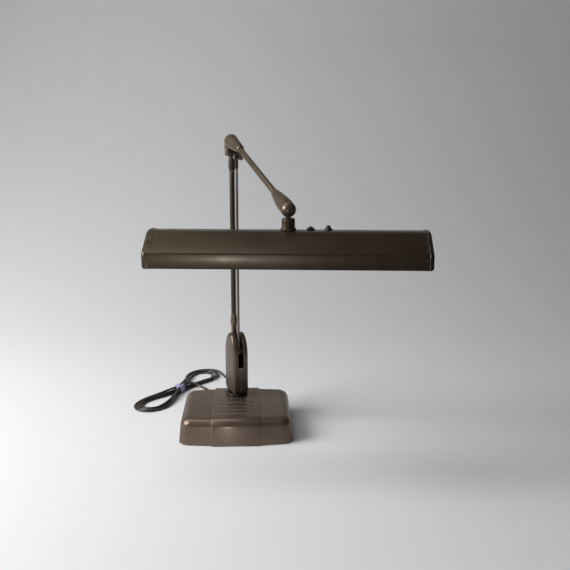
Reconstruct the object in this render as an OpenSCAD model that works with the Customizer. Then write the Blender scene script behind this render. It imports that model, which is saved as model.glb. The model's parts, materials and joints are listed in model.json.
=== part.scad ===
// Task lamp with two parallel lower members, a single upper arm and a long twin-tube shade.
// Millimetres, +Z up. The origin is the middle of the underside of the base, on the table.

/* [Base] */
// Overall width of the base
base_width = 236; // [180:1:300]
// Overall depth of the base
base_depth = 222; // [200:1:240]
// Height of the base at its raised middle band
base_height = 57; // [50:1:80]
// Width of the raised middle band
band_width = 98; // [80:1:120]
// How far the band stands proud of the wings
band_rise = 2.5; // [1:0.5:4]
// How far the wing ends are swept back from the band
wing_sweep = 11; // [4:1:20]
// Plan radius at the corners of the base
corner_radius = 20; // [18:1:30]
// Radius along the top edge of the base
edge_radius = 16.5; // [8:0.5:17.5]
// Lean of the sides from bottom to top
side_draft = 5; // [2:0.5:8]
// Wall of the base casting
base_wall = 4; // [3:0.5:5]
// Number of ribs on the band
rib_count = 4; // [2:1:5]
// Spacing of the ribs
rib_pitch = 22; // [18:1:24]

/* [Pod] */
// Turn of the arm away from straight ahead
arm_turn = 20; // [-60:1:60]
// Distance of the swivel axis in front of the base's back edge
swivel_inset = 58; // [46:0.5:64]
// Depth of the pod along the arm plane
pod_depth = 62; // [58:1:80]
// Thickness of the pod across the arm plane
pod_thickness = 34; // [32:1:40]
// Height of the pod above the swivel seat
pod_height = 135; // [128:1:170]
// Height of the pod's rounded top
pod_crown = 50; // [42:1:54]
// Wall of the pod shells
pod_wall = 3; // [2.5:0.25:3.5]
// Width of the slot for the arm
slot_width = 13; // [12.5:0.5:15]

/* [Arms] */
// Distance between the lower pivot and the elbow pivot
lower_arm_length = 422; // [330:1:480]
// Distance between the two parallel members, pivot to pivot
lever_length = 32; // [30:0.5:34]
// Outside diameter of the main lower tube
main_tube_diameter = 11; // [10:0.5:13]
// Diameter of the control rod
control_rod_diameter = 5.8; // [5:0.2:8]
// Droop of the upper arm below level
upper_droop = 20; // [0:1:30]
// Distance from the elbow pivot to the ball, along the upper arm
upper_arm_length = 328; // [260:1:380]
// Height of the upper arm's centre line above the elbow pivot
upper_offset = 24.5; // [23:0.5:30]
// Diameter of the upper tube
upper_tube_diameter = 11.5; // [9:0.5:12.5]

/* [Shade] */
// Overall length of the shade with its end caps
shade_length = 508; // [480:1:620]
// Depth of the shade at its skirt
shade_depth = 140; // [130:1:170]
// Height of the shade
shade_height = 59.5; // [58:0.5:80]
// Height of the upright skirt
skirt_height = 28; // [24:1:34]
// Width of the flat top
top_flat = 32; // [32:1:60]
// Turn of the shade on its stem
shade_turn = -4.5; // [-30:0.5:30]
// Thickness of the shade sheet
sheet = 1.2; // [0.8:0.1:1.6]
// Depth of an end cap along the shade
cap_depth = 12; // [8:0.5:16]
// Drop from the ball to the top of the shade
ball_drop = 37; // [34:0.5:44]
// Diameter of the lamp tubes
lamp_diameter = 26; // [25:0.5:27]
// Length of a lamp tube between its end caps' faces
lamp_length = 437; // [420:1:440]

/* [Buttons] */
// Distance of the stop button from the collar
stop_offset = 40; // [34:1:50]
// Distance of the start button from the collar
start_offset = 72; // [66:1:90]
// Distance of the buttons behind the middle of the shade
button_back = 6; // [4:0.5:6]
// Stroke of the buttons
button_stroke = 2.5; // [1.5:0.1:3]

/* [Cord] */
// Diameter of the cord
cord_diameter = 5; // [4.5:0.1:5.2]
// Length of the strain relief outside the base
relief_length = 24; // [20:1:30]

/* [Hidden] */
$fn = 48;
hull_fn = 32;
edge_fn = 24;
eps = 0.01;
run_gap = 0.3;
pin_gap = 0.05;
press_gap = 0.05;
cut_reach = 20;

// Base stack, from the table up
pad_thick = 2.5;
rim_z = 1.5;
plate_thick = 2;
plate_top = pad_thick + plate_thick;
roof_thick = 4;
roof_z = base_height - band_rise - roof_thick;
wing_top = base_height - band_rise;
eave_z = wing_top - edge_radius;
eave_step = edge_radius * 0.4;
rib_radius = 2.6;
rib_proud = 1.3;
rib_length = 78;
rib_behind = 58;
profile_run = side_draft + edge_radius + 3;
swivel_back = base_depth / 2 - swivel_inset;
rib_first = swivel_back - rib_behind;
corner_x = base_width / 2 - corner_radius;
corner_y = base_depth / 2 - wing_sweep - corner_radius;
post_radius = 6;
post_side = 30;
post_end = 38;
post_x = base_width / 2 - post_side;
post_y = base_depth / 2 - post_end;
screw_radius = 2;
screw_head = 3.8;
screw_length = 11;
screw_hole = 13;
weight_gap = 13;
weight_height = 36;
weight_hole = 5;
weight_size = [2 * (post_x - weight_gap), base_depth * 0.28, weight_height];
weight_y = -base_depth * 0.215;
choke_size = [62, 44, 34];
choke_left = 48;
choke_ahead = 22;
choke_at = [-choke_left, swivel_back - choke_ahead];
choke_ear = [10, 16, 2];
pad_inset = 4;

// Swivel under the pod
seat_radius = 24;
seat_thick = 6;
spindle_radius = 8;
spindle_bore = 4;
spindle_flange = 11.5;
flange_thick = 3;
nut_radius = 13;
nut_thick = 7;
washer_thick = 1.5;
pod_z = base_height + seat_thick + run_gap;
pod_top = pod_z + pod_height;
pod_floor = 4;
pod_edge = 6;
pod_foot_round = 12;
pod_seat = pod_thickness / 2 - 1.3;
slot_length = 74;
slot_foot = pod_top - slot_length;
slot_rear = -pod_depth / 2 + 2;
shell_screw_rise = 10;
shell_screw_head = 1.6;
shell_screws = [[21, pod_z + shell_screw_rise], [-22, pod_z + shell_screw_rise]];

// Pivots in the arm plane: forward from the swivel axis, and height
pivot_behind = 15;
pivot_below = 30;
pivot1 = [-pivot_behind, pod_top - pivot_below];
lever = [lever_length * cos(upper_droop), -lever_length * sin(upper_droop)];
pivot3 = pivot1 + lever;
pivot2 = pivot1 + [0, lower_arm_length];
pivot4 = pivot2 + lever;
main_pin = 4;
elbow_pin_radius = 3;
elbow_head = 5;
pin_head = 2;
rod_pin_radius = 2.5;
rod_head = 4;
eye_half = 4.7;
foot_eye = 9;
crank_arm = 9;
crank_radius = 4.4;
hook_pin = 1.8;
foot_neck = 10;
bulge_start = 42;
bulge_end = 68;
bulge_radius = 7.6;
bulge_profile = [
    [0, bulge_start - 2],
    [foot_neck / 2 + 0.2, bulge_start - 2],
    [bulge_radius - 0.5, bulge_start + 3],
    [bulge_radius, bulge_start + 7],
    [bulge_radius - 0.2, bulge_start + 12],
    [bulge_radius - 1, bulge_start + 19],
    [main_tube_diameter / 2 + 0.5, bulge_end],
    [0, bulge_end]
];
tube_bore = main_tube_diameter / 2 - 1.5;
spigot = 16;
head_reach = 42;
head_neck = 26;
head_ring = 7;
head_sleeve = main_tube_diameter + 3.2;
head_top = 14;
head_half = 7.2;
rocker_in = eye_half + 0.5;
rocker_thick = 2.2;
rocker_out = rocker_in + rocker_thick;
rocker_web = 5;
rocker_boss = 7;
rocker_tail = [-1.5, -6.2];
rod_eye_half = 3.8;
rod_eye = 6.4;
rod_socket = 16;
rod_sleeve = 0.9;
rod_grip = 8;

// Springs in the pod
spring_wire = 0.7;
spring_radius = 3.4;
spring_curls = 14;
spring_side = rocker_out + spring_wire + run_gap;
spring_lead = 4;
hook_over = 3;
anchor = [-17, pod_z + 17];
anchor_radius = 2;
foot_hook = pivot1 + [0, -crank_arm];
tail_hook = pivot1 + rocker_tail;

// Elbow hood and upper arm
cheek_out = 13;
cheek_in = 7.7;
hood_radius = 15;
hood_back = -8;
hood_front = 8;
hood_sink = -6;
hood_arch = 14.5;
ear_rounds = [
    [pivot2, 10.5],
    [pivot2 + [0, 20], 8]
];
cheek_rounds = [
    [pivot2, 10.5],
    [pivot4, 7.5],
    [pivot2 + [2, 18], 8],
    [pivot4 + [8, 17], 5]
];
hood_mouth = [
    pivot2 + [-40, -60],
    pivot2 + [-40, 8],
    pivot2 + [-8, 11.5],
    pivot2 + [10, 11.5],
    pivot4 + [8, 11],
    pivot4 + [14, 0],
    pivot4 + [30, -50]
];
neck_screw_in = 7;
neck_screw_radius = 2.1;
neck_radius = 7.7;
neck_start = 30;
neck_end = 52;
upper_radius = upper_tube_diameter / 2;
tear_length = 80;
tear_socket = 24;
tear_lip = upper_radius + 0.9;
ball_housing = 14;
ball_radius = 10;
stem_radius = 4;
stem_slot = 9;
tilt_low = -35;
tilt_high = 35;
slot_margin = asin(stem_radius / ball_radius) + 4;
trunnion_radius = 3;
trunnion_reach = 12;
trunnion_hole = trunnion_reach + run_gap;
slot_reach = 40;
slot_steps = 6;
notch_back = 13;
notch_width = 2;
notch_depth = 3.5;
clamp_x = upper_arm_length - 22;
clamp_reach = 7;
clamp_seat = 7.5;
clamp_radius = 1.5;
clamp_head = 2.8;
ball = [pivot2[0] + upper_arm_length * cos(upper_droop) + upper_offset * sin(upper_droop),
        pivot2[1] - upper_arm_length * sin(upper_droop) + upper_offset * cos(upper_droop)];

// Shade
shade_z = ball[1] - ball_drop - shade_height;
shade_xy = [ball[0] * sin(arm_turn), swivel_back - ball[0] * cos(arm_turn)];
collar_radius = 12;
collar_height = ball_drop - ball_housing - 1;
flange_radius = 14.2;
flange_height = 4;
tail_radius = 6;
tail_drop = 6;
collar_nut_radius = 11;
collar_nut_thick = 4;
stem_nut_radius = 7;
stem_nut_thick = 4;
hem = 5;
cap_skin = 1.2;
cap_round = 4;
cap_from = shade_length / 2 - cap_depth;
shell_half = shade_length / 2 - cap_round - 0.3;
reflector_drop = 17;
reflector_z = shade_height - reflector_drop;
reflector_flat = shade_depth * 0.56;
reflector_skin = 0.8;
reflector_short = 14;
reflector_half = shell_half - reflector_short;
reflector_clear = 0.6;
reflector_over = 2;
lamp_y = shade_depth * 0.215;
lamp_z = 24;
lamp_cap = 9;
lamp_wall = 0.9;
lamp_pin = 1.2;
lamp_pin_length = 7;
lamp_pin_apart = 12.7;
socket_thick = 10;
socket_width = 16;
socket_foot = 11;
cap_screw_radius = 1.6;
cap_screw_in = 5;

// Buttons
start_radius = 4;
start_rise = 8.6;
stop_radius = 5.4;
stop_rise = 6.2;
bezel_skirt = 2.2;
start_bezel = 3.4;
stop_bezel = 2.4;
switch_radius = 9;
switch_drop = shade_height - sheet - reflector_z - reflector_skin - 0.2;
button_foot = 6;
button_lip = 1.2;
button_seat = 1.2;
start_round = 1.4;
stop_round = 3;

// Cord route
route_steps = 2;
cord_r = cord_diameter / 2;
floor_z = cord_r + 0.1;
relief_x = 16;
relief_z = 17;
relief_radius = 6;
relief_plug = 9;
relief_flange = 5;
relief_y = base_depth / 2 - 3;
relief_tip = relief_y + relief_length;
lead_route = [
    [relief_x, relief_tip, relief_z - floor_z], [relief_x + 1, relief_tip + 20.6, 11.7],
    [relief_x + 2.4, relief_tip + 40, 3.8], [relief_x + 3.2, relief_tip + 60.6, 0.8],
    [18.1, 213.4, 0.1], [13.8, 233.7, 0], [6.4, 253.2, 0], [-3.2, 271.7, 0], [-13.9, 289.8, 0],
    [-24.3, 308, 0], [-33.5, 326.8, 0], [-41.2, 346.2, 0], [-48.1, 365.7, 0], [-56.9, 383.7, 0]
];
plug_from = [-59, base_depth / 2 + 65];
plug_length = 36;
plug_neck = 12;
plug_width = 22;
plug_thick = 16;
plug_z = plug_thick / 2 + 0.1;
blade_size = [6.3, 16, 1.5];
blade_apart = 12.7;

// Hank: three and three quarter loops, drawn in at the tie; heights are over a lying cord
hank_route = [
    [-71.6, 395, 0], [-90.6, 396.5, 0], [-109.1, 389.9, 0], [-123.9, 376.6, 0], [-133.1, 358.5, 0],
    [-136.7, 338.2, 0], [-137.5, 317.3, 0], [-138, 296.4, 0], [-139.6, 275.7, 0], [-143.7, 255.5, 0],
    [-151.3, 236.4, 0], [-162.4, 219.2, 0], [-176.6, 204.1, 0], [-192.1, 190.2, 0],
    [-207.3, 175.8, 0], [-221.2, 160.7, 0], [-230.9, 143.4, 0], [-232.5, 124.5, 0],
    [-224.3, 108.3, 0], [-208, 100.7, 0], [-189.6, 103.9, 0], [-174.6, 116.2, 0], [-165.1, 133.9, 0],
    [-158.8, 153.7, 0], [-153.7, 174, 0], [-148.7, 194.3, 0], [-142.4, 214.2, 0], [-133.8, 233.1, 0],
    [-122.9, 250.7, 0], [-110, 267.1, 0], [-96.3, 283, 0], [-83, 299.1, 0], [-71.8, 316.5, 0],
    [-64.1, 335.2, 0], [-62.1, 354.6, 0], [-68.2, 372, 0], [-82.8, 382, 0], [-100.7, 380.5, 0],
    [-115.6, 368.9, 0], [-125.4, 351.7, 0], [-130.6, 332, 0], [-131.9, 311.2, 0], [-132.5, 290.3, 0],
    [-134.6, 269.5, 0], [-139.6, 249.2, 0], [-148.1, 230.2, 0], [-159.9, 213.1, 0],
    [-174.5, 198.1, 0], [-190.2, 184.2, 0], [-205.1, 169.9, 0], [-216.7, 153.6, 0],
    [-221.6, 135.2, 0], [-216.5, 119, 0], [-201.4, 113.2, 0], [-184.9, 120.1, 0], [-172.2, 134.9, 0],
    [-164.7, 153.7, 0], [-159.6, 173.8, 0], [-154.7, 194.2, 0], [-148.5, 214.2, 0],
    [-140.1, 233.4, 0], [-129.4, 251.4, 0], [-116.7, 268.1, 0], [-103.1, 284, 0], [-89.7, 299.9, 0],
    [-78.1, 316.8, 0], [-70.7, 335.2, 0], [-71.2, 354.1, 0], [-81.3, 368.2, 0], [-98, 370.5, 0],
    [-113.2, 360.6, 0.2], [-122.4, 343.6, 1.5], [-127.2, 323.9, 3.8], [-130.1, 303.3, 5.4],
    [-132.8, 282.5, 5.7], [-137.7, 262.2, 5.4], [-145, 242.7, 5], [-154.9, 224.4, 5],
    [-167.4, 207.8, 5.3], [-182.2, 193, 5.6], [-198.3, 179.7, 5.3], [-213.1, 165.4, 4.8],
    [-223.7, 148.6, 3.4], [-227.2, 130.1, 1.2], [-220.4, 113.7, 0.2], [-205.1, 106.4, 0.3],
    [-187.8, 111.4, 1.6], [-174, 124.7, 3.9], [-164.5, 142.4, 5.3], [-158.9, 162.2, 5.3],
    [-155.1, 182.7, 5.2], [-150.1, 202.9, 5.3], [-142.8, 222.4, 5.2], [-133.1, 240.8, 5.2],
    [-121.2, 257.9, 4.8], [-107.3, 273.6, 5.4], [-92.5, 288.4, 5.7], [-77.8, 303.4, 5.5],
    [-65.2, 319.7, 3.6], [-57.5, 338.4, 1.3], [-56.6, 358.2, 0.2], [-63.9, 376, 0], [-78.6, 387.4, 0],
    [-97, 388.5, 0], [-113.6, 379.4, 0.6], [-125.5, 363.8, 2.3], [-132, 344.7, 4.1],
    [-134.4, 324.2, 5], [-135.9, 303.4, 6], [-138, 282.7, 8.3], [-140.6, 262.1, 10.4],
    [-146, 242.3, 10.7], [-156.1, 224.5, 10.6], [-170.4, 209.7, 9.7], [-186.4, 196.6, 7.2],
    [-202.8, 183.8, 5.1], [-218.9, 170.7, 3.1], [-231.9, 155, 1.1], [-238.5, 136.3, 0.1],
    [-236.7, 117, 0], [-226.2, 101.4, 0], [-209.2, 93.9, 0], [-190.5, 96.5, 0], [-174.4, 107.7, 0],
    [-163, 124.3, 0.6], [-156.3, 143.8, 2.5], [-152.7, 164.2, 5.1], [-149.6, 184.8, 8.6],
    [-146.4, 205.3, 11.3], [-141.9, 225.5, 11.9], [-134.8, 244.2, 11.4]
];
tail_route = [
    [-122.3, 257.3, 11.5], [-106, 258.8, 7.4], [-90.5, 248.8, 3.1], [-77, 233.8, 1],
    [plug_from[0] - 7.8, plug_from[1] + 39.9, 0.9], [plug_from[0] - 0.8, plug_from[1] + 20.6, 2.3],
    [plug_from[0], plug_from[1], plug_z - floor_z]
];
tie_at = [-145.2, 231.7];
tie_turn = 20;
tie_half = 12.9;
tie_top = 17.2;
tie_round = 4;
tie_length = 13;
tie_thick = 1.2;

// Smooth step from 0 to 1
function unit(v) = v / norm(v);

// Frames
module arm_frame() {
    translate([0, swivel_back, 0]) rotate([0, 0, arm_turn - 90]) children();
}
module at_pivot(p) {
    translate([p[0], 0, p[1]]) children();
}
module upper_frame() {
    arm_frame() at_pivot(pivot2) rotate([0, upper_droop, 0]) translate([0, 0, upper_offset]) children();
}
module shade_frame() {
    translate([shade_xy[0], shade_xy[1], shade_z]) rotate([0, 0, shade_turn]) children();
}
// A flat profile in the arm plane, thickened across it
module across(v0, v1) {
    translate([0, v1, 0]) rotate([90, 0, 0]) linear_extrude(v1 - v0) children();
}
// A round pin across the arm plane
module cross_pin(p, r, v0, v1) {
    translate([p[0], v0, p[1]]) rotate([-90, 0, 0]) cylinder(r = r, h = v1 - v0);
}
// A round bar along the local X axis
module x_bar(r, x0, x1) {
    translate([x0, 0, 0]) rotate([0, 90, 0]) cylinder(r = r, h = x1 - x0);
}

// Swept round tube: rings square to the route, closed at both ends
function route_dir(p, i) =
    unit(p[min(i + 1, len(p) - 1)] - p[max(i - 1, 0)]);
function ring_side(t) =
    let(ref = abs(t[2]) > 0.95 ? [1, 0, 0] : [0, 0, 1]) unit(cross(ref, t));
function tube_rings(p, r, n, dirs) = [
    for (i = [0 : len(p) - 1])
        let(t = dirs[i], a = ring_side(t), b = cross(t, a))
            for (k = [0 : n - 1]) p[i] + r * (cos(360 * k / n) * a + sin(360 * k / n) * b)
];
function tube_sides(count, n) = [
    for (i = [0 : count - 2]) for (k = [0 : n - 1])
        let(a = i * n + k, b = i * n + (k + 1) % n, c = a + n, d = b + n)
            each [[a, c, b], [b, c, d]]
];
function tube_ends(count, n) = [
    for (k = [1 : n - 2])
        let(last = (count - 1) * n)
            each [[0, k, k + 1], [last, last + k + 1, last + k]]
];
module tube(p, r, n) {
    dirs = [for (i = [0 : len(p) - 1]) route_dir(p, i)];
    polyhedron(points = tube_rings(p, r, n, dirs),
               faces = concat(tube_sides(len(p), n), tube_ends(len(p), n)));
}
// One smooth pass through hand-set route points
function bow(a, b, c, d, t) =
    0.5 * (2 * b + (c - a) * t + (2 * a - 5 * b + 4 * c - d) * t * t + (3 * b - a - 3 * c + d) * t * t * t);
function smooth_route(p) = [
    for (i = [0 : len(p) - 2]) for (t = [0 : 1 / route_steps : 0.99])
        bow(p[max(i - 1, 0)], p[i], p[i + 1], p[min(i + 2, len(p) - 1)], t),
    p[len(p) - 1]
];

// Whole cord in one smooth pass, cut into lead, hank and tail
cord_path = [
    for (p = smooth_route(concat(lead_route, hank_route, tail_route))) p + [0, 0, floor_z]
];
hank_from = route_steps * len(lead_route);
hank_to = hank_from + route_steps * (len(hank_route) - 1);
function stretch_of(p, from, to) = [for (i = [from : to]) p[i]];
lead_path = stretch_of(cord_path, 0, hank_from);
hank_path = stretch_of(cord_path, hank_from, hank_to);
tail_path = stretch_of(cord_path, hank_to, len(cord_path) - 1);

// Least clear distance of the hank to itself, measured on its points
function to_piece(p, a, b) =
    let(ab = b - a, t = min(1, max(0, (p - a) * ab / (ab * ab)))) norm(p - a - ab * t);
function hank_least() = min([
    for (i = [0 : len(hank_path) - 1]) for (k = [i + 8 : 1 : len(hank_path) - 2])
        to_piece(hank_path[i], hank_path[k], hank_path[k + 1])
]) - cord_diameter;
function route_length(p) = len(p) < 2 ? 0 : [for (i = 0, s = 0; i < len(p); s = s
    + (i + 1 < len(p) ? norm(p[i + 1] - p[i]) : 0), i = i + 1) s][len(p) - 1];

// Base
module base_post(x, y) {
    translate([x, y, rim_z]) cylinder(r = corner_radius, h = 1, $fn = hull_fn);
    translate([x - sign(x) * side_draft, y - sign(y) * side_draft, wing_top - edge_radius])
        rotate_extrude($fn = hull_fn) translate([corner_radius - edge_radius, 0]) intersection() {
            circle(r = edge_radius, $fn = edge_fn);
            square(edge_radius);
        }
}
module wings() {
    hull() for (sx = [-1, 1], sy = [-1, 1]) {
        base_post(sx * corner_x, sy * corner_y);
        translate([sx * band_width / 2 - 1, sy * (base_depth / 2 - band_rise), 0])
            mirror([0, sy < 0 ? 0 : 1, 0]) rotate([90, 0, 90]) linear_extrude(2) edge_profile(wing_top);
    }
}
// Front half of the section through the band, drafted and rounded at the top; the front is at 0
module edge_profile(top) {
    polygon(concat([[profile_run, rim_z], [0, rim_z], [0, rim_z + 1]],
        [for (a = [0 : 15 : 90]) [side_draft + edge_radius * (1 - cos(a)),
                                  top - edge_radius * (1 - sin(a))]], [[profile_run, top]]));
}
module band() {
    translate([-band_width / 2, 0, 0]) rotate([90, 0, 90]) linear_extrude(band_width) {
        for (sy = [-1, 1]) mirror([sy < 0 ? 0 : 1, 0]) translate([-base_depth / 2, 0])
            edge_profile(base_height);
        translate([-base_depth / 2 + profile_run - 1, rim_z])
            square([base_depth - 2 * profile_run + 2, base_height - rim_z]);
    }
}
module plan(inset) {
    hull() for (sx = [-1, 1], sy = [-1, 1])
        translate([sx * corner_x, sy * corner_y]) circle(r = corner_radius - inset, $fn = hull_fn);
}
module base_corners() {
    for (sx = [-1, 1], sy = [-1, 1]) translate([sx * post_x, sy * post_y, 0]) children();
}
module base_shell() color([0.30, 0.25, 0.21]) {
    difference() {
        union() {
            difference() {
                union() {
                    wings();
                    band();
                    for (i = [0 : rib_count - 1])
                        translate([0, rib_first - i * rib_pitch, base_height + rib_proud - rib_radius])
                            x_bar(rib_radius, -rib_length / 2, rib_length / 2);
                }
                translate([0, 0, plate_top - 1]) linear_extrude(1 + eave_z - plate_top)
                    plan(base_wall + side_draft);
                translate([0, 0, eave_z - 1]) linear_extrude(1 + roof_z - eave_z)
                    plan(base_wall + side_draft + eave_step);
                translate([0, 0, rim_z - 1]) linear_extrude(1 + plate_top - rim_z) plan(base_wall);
            }
            base_corners() translate([0, 0, plate_top + press_gap])
                cylinder(r = post_radius, h = roof_z - plate_top);
        }
        translate([0, swivel_back, roof_z - 1]) cylinder(r = spindle_radius + pin_gap, h = base_height);
        base_corners() translate([0, 0, plate_top - 1]) cylinder(r = screw_radius, h = screw_hole);
        translate([relief_x, relief_y - relief_plug - 5, relief_z]) rotate([-90, 0, 0])
            cylinder(r = relief_radius + press_gap, h = relief_length);
    }
}
module bottom_plate() color([0.35, 0.34, 0.33]) {
    difference() {
        translate([0, 0, pad_thick]) linear_extrude(plate_thick) plan(base_wall + press_gap);
        base_corners() translate([0, 0, pad_thick - 1])
            cylinder(r = screw_radius + press_gap, h = plate_thick + 2);
        base_corners() translate([0, 0, pad_thick - eps])
            cylinder(r = screw_head + press_gap, h = plate_thick / 2);
    }
}
module felt_pad() color([0.20, 0.22, 0.18]) {
    linear_extrude(pad_thick) plan(base_wall + pad_inset);
}
module base_weight() color([0.25, 0.25, 0.26]) {
    difference() {
        translate([-weight_size[0] / 2, weight_y - weight_size[1] / 2, plate_top]) cube(weight_size);
        for (sx = [-1, 1]) translate([sx * weight_size[0] * 0.3, weight_y, plate_top - 1])
            cylinder(r = weight_hole, h = weight_size[2] + 2);
    }
}
module choke_ears() {
    for (sx = [-1, 1])
        translate([choke_at[0] + sx * (choke_size[0] + choke_ear[0]) / 2, choke_at[1], plate_top])
            children();
}
module ballast_choke() color([0.16, 0.16, 0.17]) {
    difference() {
        union() {
            translate([choke_at[0] - choke_size[0] / 2, choke_at[1] - choke_size[1] / 2, plate_top])
                cube(choke_size);
            choke_ears() translate([-choke_ear[0] / 2, -choke_ear[1] / 2, 0]) cube(choke_ear);
        }
        choke_ears() translate([0, 0, -1]) cylinder(r = screw_radius + press_gap, h = choke_ear[2] + 2);
    }
}
module choke_screws() color([0.6, 0.6, 0.6]) {
    choke_ears() {
        cylinder(r = screw_radius, h = choke_ear[2]);
        translate([0, 0, choke_ear[2]]) cylinder(r = screw_head, h = screw_radius);
    }
}
module bottom_screws() color([0.6, 0.6, 0.6]) {
    base_corners() {
        translate([0, 0, pad_thick]) cylinder(r = screw_head, h = plate_thick / 2 - press_gap);
        translate([0, 0, pad_thick]) cylinder(r = screw_radius, h = screw_length);
    }
}
module swivel_seat() color([0.12, 0.11, 0.10]) {
    translate([0, swivel_back, base_height]) difference() {
        cylinder(r = seat_radius, h = seat_thick);
        translate([0, 0, -1]) cylinder(r = spindle_radius + pin_gap, h = seat_thick + 2);
    }
}
module strain_relief() color([0.08, 0.07, 0.07]) {
    translate([relief_x, relief_y, relief_z]) rotate([-90, 0, 0]) difference() {
        union() {
            translate([0, 0, -relief_plug]) cylinder(r = relief_radius, h = relief_plug + eps);
            cylinder(r = relief_radius + 2, h = relief_flange);
            translate([0, 0, relief_flange - eps])
                cylinder(r1 = relief_radius, r2 = cord_r + 1, h = relief_length - relief_flange);
        }
        translate([0, 0, -relief_plug - 1]) cylinder(r = cord_r - 1, h = relief_length + relief_plug - 3);
    }
}

// Cord
module cord_lead() color([0.10, 0.08, 0.07]) {
    tube(lead_path, cord_r, 8);
}
module cord_hank() color([0.10, 0.08, 0.07]) {
    tube(hank_path, cord_r, 6);
}
module cord_tail() color([0.10, 0.08, 0.07]) {
    tube(tail_path, cord_r, 8);
}
module cord_tie() color([0.55, 0.47, 0.72]) {
    translate([tie_at[0], tie_at[1], 0]) rotate([0, 0, -tie_turn])
        translate([0, tie_length / 2, 0]) rotate([90, 0, 0]) linear_extrude(tie_length) difference() {
            translate([0, tie_top / 2 + tie_thick]) tie_outline(tie_thick);
            translate([0, tie_top / 2 + tie_thick]) tie_outline(0);
        }
}
module tie_outline(grow) {
    turn = tie_round + grow;
    offset(r = turn) square([2 * (tie_half + grow - turn), tie_top + 2 * grow - 2 * turn], center = true);
}
module plug_body() color([0.10, 0.08, 0.07]) {
    translate([plug_from[0], plug_from[1], plug_z]) rotate([90, 0, 0]) {
        cylinder(r1 = cord_r + 1.4, r2 = plug_thick / 2 - 1, h = plug_neck);
        translate([0, 0, plug_neck - eps]) linear_extrude(plug_length - plug_neck) {
            square([plug_width - plug_thick, plug_thick], center = true);
            for (sx = [-1, 1]) translate([sx * (plug_width - plug_thick) / 2, 0]) circle(d = plug_thick);
        }
    }
}
module plug_blades() color([0.80, 0.68, 0.38]) {
    for (sx = [-1, 1])
        translate([plug_from[0] + sx * blade_apart / 2 - blade_size[2] / 2,
                   plug_from[1] - plug_length - blade_size[1], plug_z - blade_size[0] / 2])
            cube([blade_size[2], blade_size[1], blade_size[0]]);
}

// Pod
module pod_outline(inset, foot) {
    half = pod_depth / 2 - inset;
    crown = pod_crown - inset;
    shoulder = pod_top - pod_crown;
    turn = pod_foot_round - inset / 2;
    polygon(concat(
        [for (a = [180 : 15 : 270]) [-half + turn + turn * cos(a), foot + turn + turn * sin(a)]],
        [for (a = [270 : 15 : 360]) [half - turn + turn * cos(a), foot + turn + turn * sin(a)]],
        [for (a = [0 : 7.5 : 180]) [half * cos(a), shoulder + crown * sin(a)]]));
}
module pod_solid(inset) {
    hull() for (a = [0 : 22.5 : 90])
        across(-pod_thickness / 2 + inset + pod_edge * (1 - sin(a)),
               pod_thickness / 2 - inset - pod_edge * (1 - sin(a)))
            pod_outline(inset + pod_edge * (1 - cos(a)), pod_z + inset);
}
module pod_half(side) {
    v0 = side < 0 ? -pod_thickness : 0;
    arm_frame() difference() {
        intersection() {
            difference() {
                pod_solid(0);
                pod_solid(pod_wall);
            }
            translate([-pod_depth, v0, pod_z - 1]) cube([pod_depth * 2, pod_thickness, pod_height + 10]);
        }
        translate([slot_rear, -slot_width / 2, slot_foot]) cube([pod_depth, slot_width, pod_height]);
        translate([0, 0, pod_z - 1]) cylinder(r = spindle_radius + press_gap, h = pod_floor + 2);
        cross_pin(pivot1, main_pin + press_gap, -pod_seat - press_gap, pod_seat + press_gap);
        for (s = shell_screws) cross_pin(s, screw_radius + press_gap, -pod_seat - press_gap, pod_thickness);
        cross_pin(anchor, anchor_radius + press_gap, -pod_seat - press_gap, pod_seat + press_gap);
    }
}
module pod_left_shell() color([0.30, 0.25, 0.21]) {
    pod_half(-1);
}
module pod_right_shell() color([0.28, 0.23, 0.19]) {
    pod_half(1);
}
module pod_screws() color([0.45, 0.42, 0.38]) {
    arm_frame() for (s = shell_screws) {
        cross_pin(s, screw_radius, -pod_seat, pod_thickness / 2);
        cross_pin(s, screw_head, pod_thickness / 2, pod_thickness / 2 + shell_screw_head);
    }
}
module swivel_spindle() color([0.55, 0.55, 0.56]) {
    foot = roof_z - run_gap - washer_thick - nut_thick - 3;
    translate([0, swivel_back, 0]) difference() {
        union() {
            translate([0, 0, foot]) cylinder(r = spindle_radius, h = pod_z + pod_wall - foot + eps);
            translate([0, 0, pod_z + pod_wall]) cylinder(r = spindle_flange, h = flange_thick);
        }
        translate([0, 0, foot - 1]) cylinder(r = spindle_bore, h = pod_height);
    }
}
module swivel_nut() color([0.65, 0.58, 0.36]) {
    top = roof_z - run_gap;
    translate([0, swivel_back, 0]) difference() {
        union() {
            translate([0, 0, top - washer_thick]) cylinder(r = nut_radius + 2, h = washer_thick);
            translate([0, 0, top - washer_thick - nut_thick])
                cylinder(r = nut_radius, h = nut_thick + eps, $fn = 6);
        }
        translate([0, 0, top - 20]) cylinder(r = spindle_radius + press_gap, h = 30);
    }
}
module lower_pivot_pin() color([0.6, 0.6, 0.6]) {
    arm_frame() cross_pin(pivot1, main_pin, -pod_seat, pod_seat);
}
module spring_anchor() color([0.6, 0.6, 0.6]) {
    arm_frame() cross_pin(anchor, anchor_radius, -pod_seat, pod_seat);
}
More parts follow.
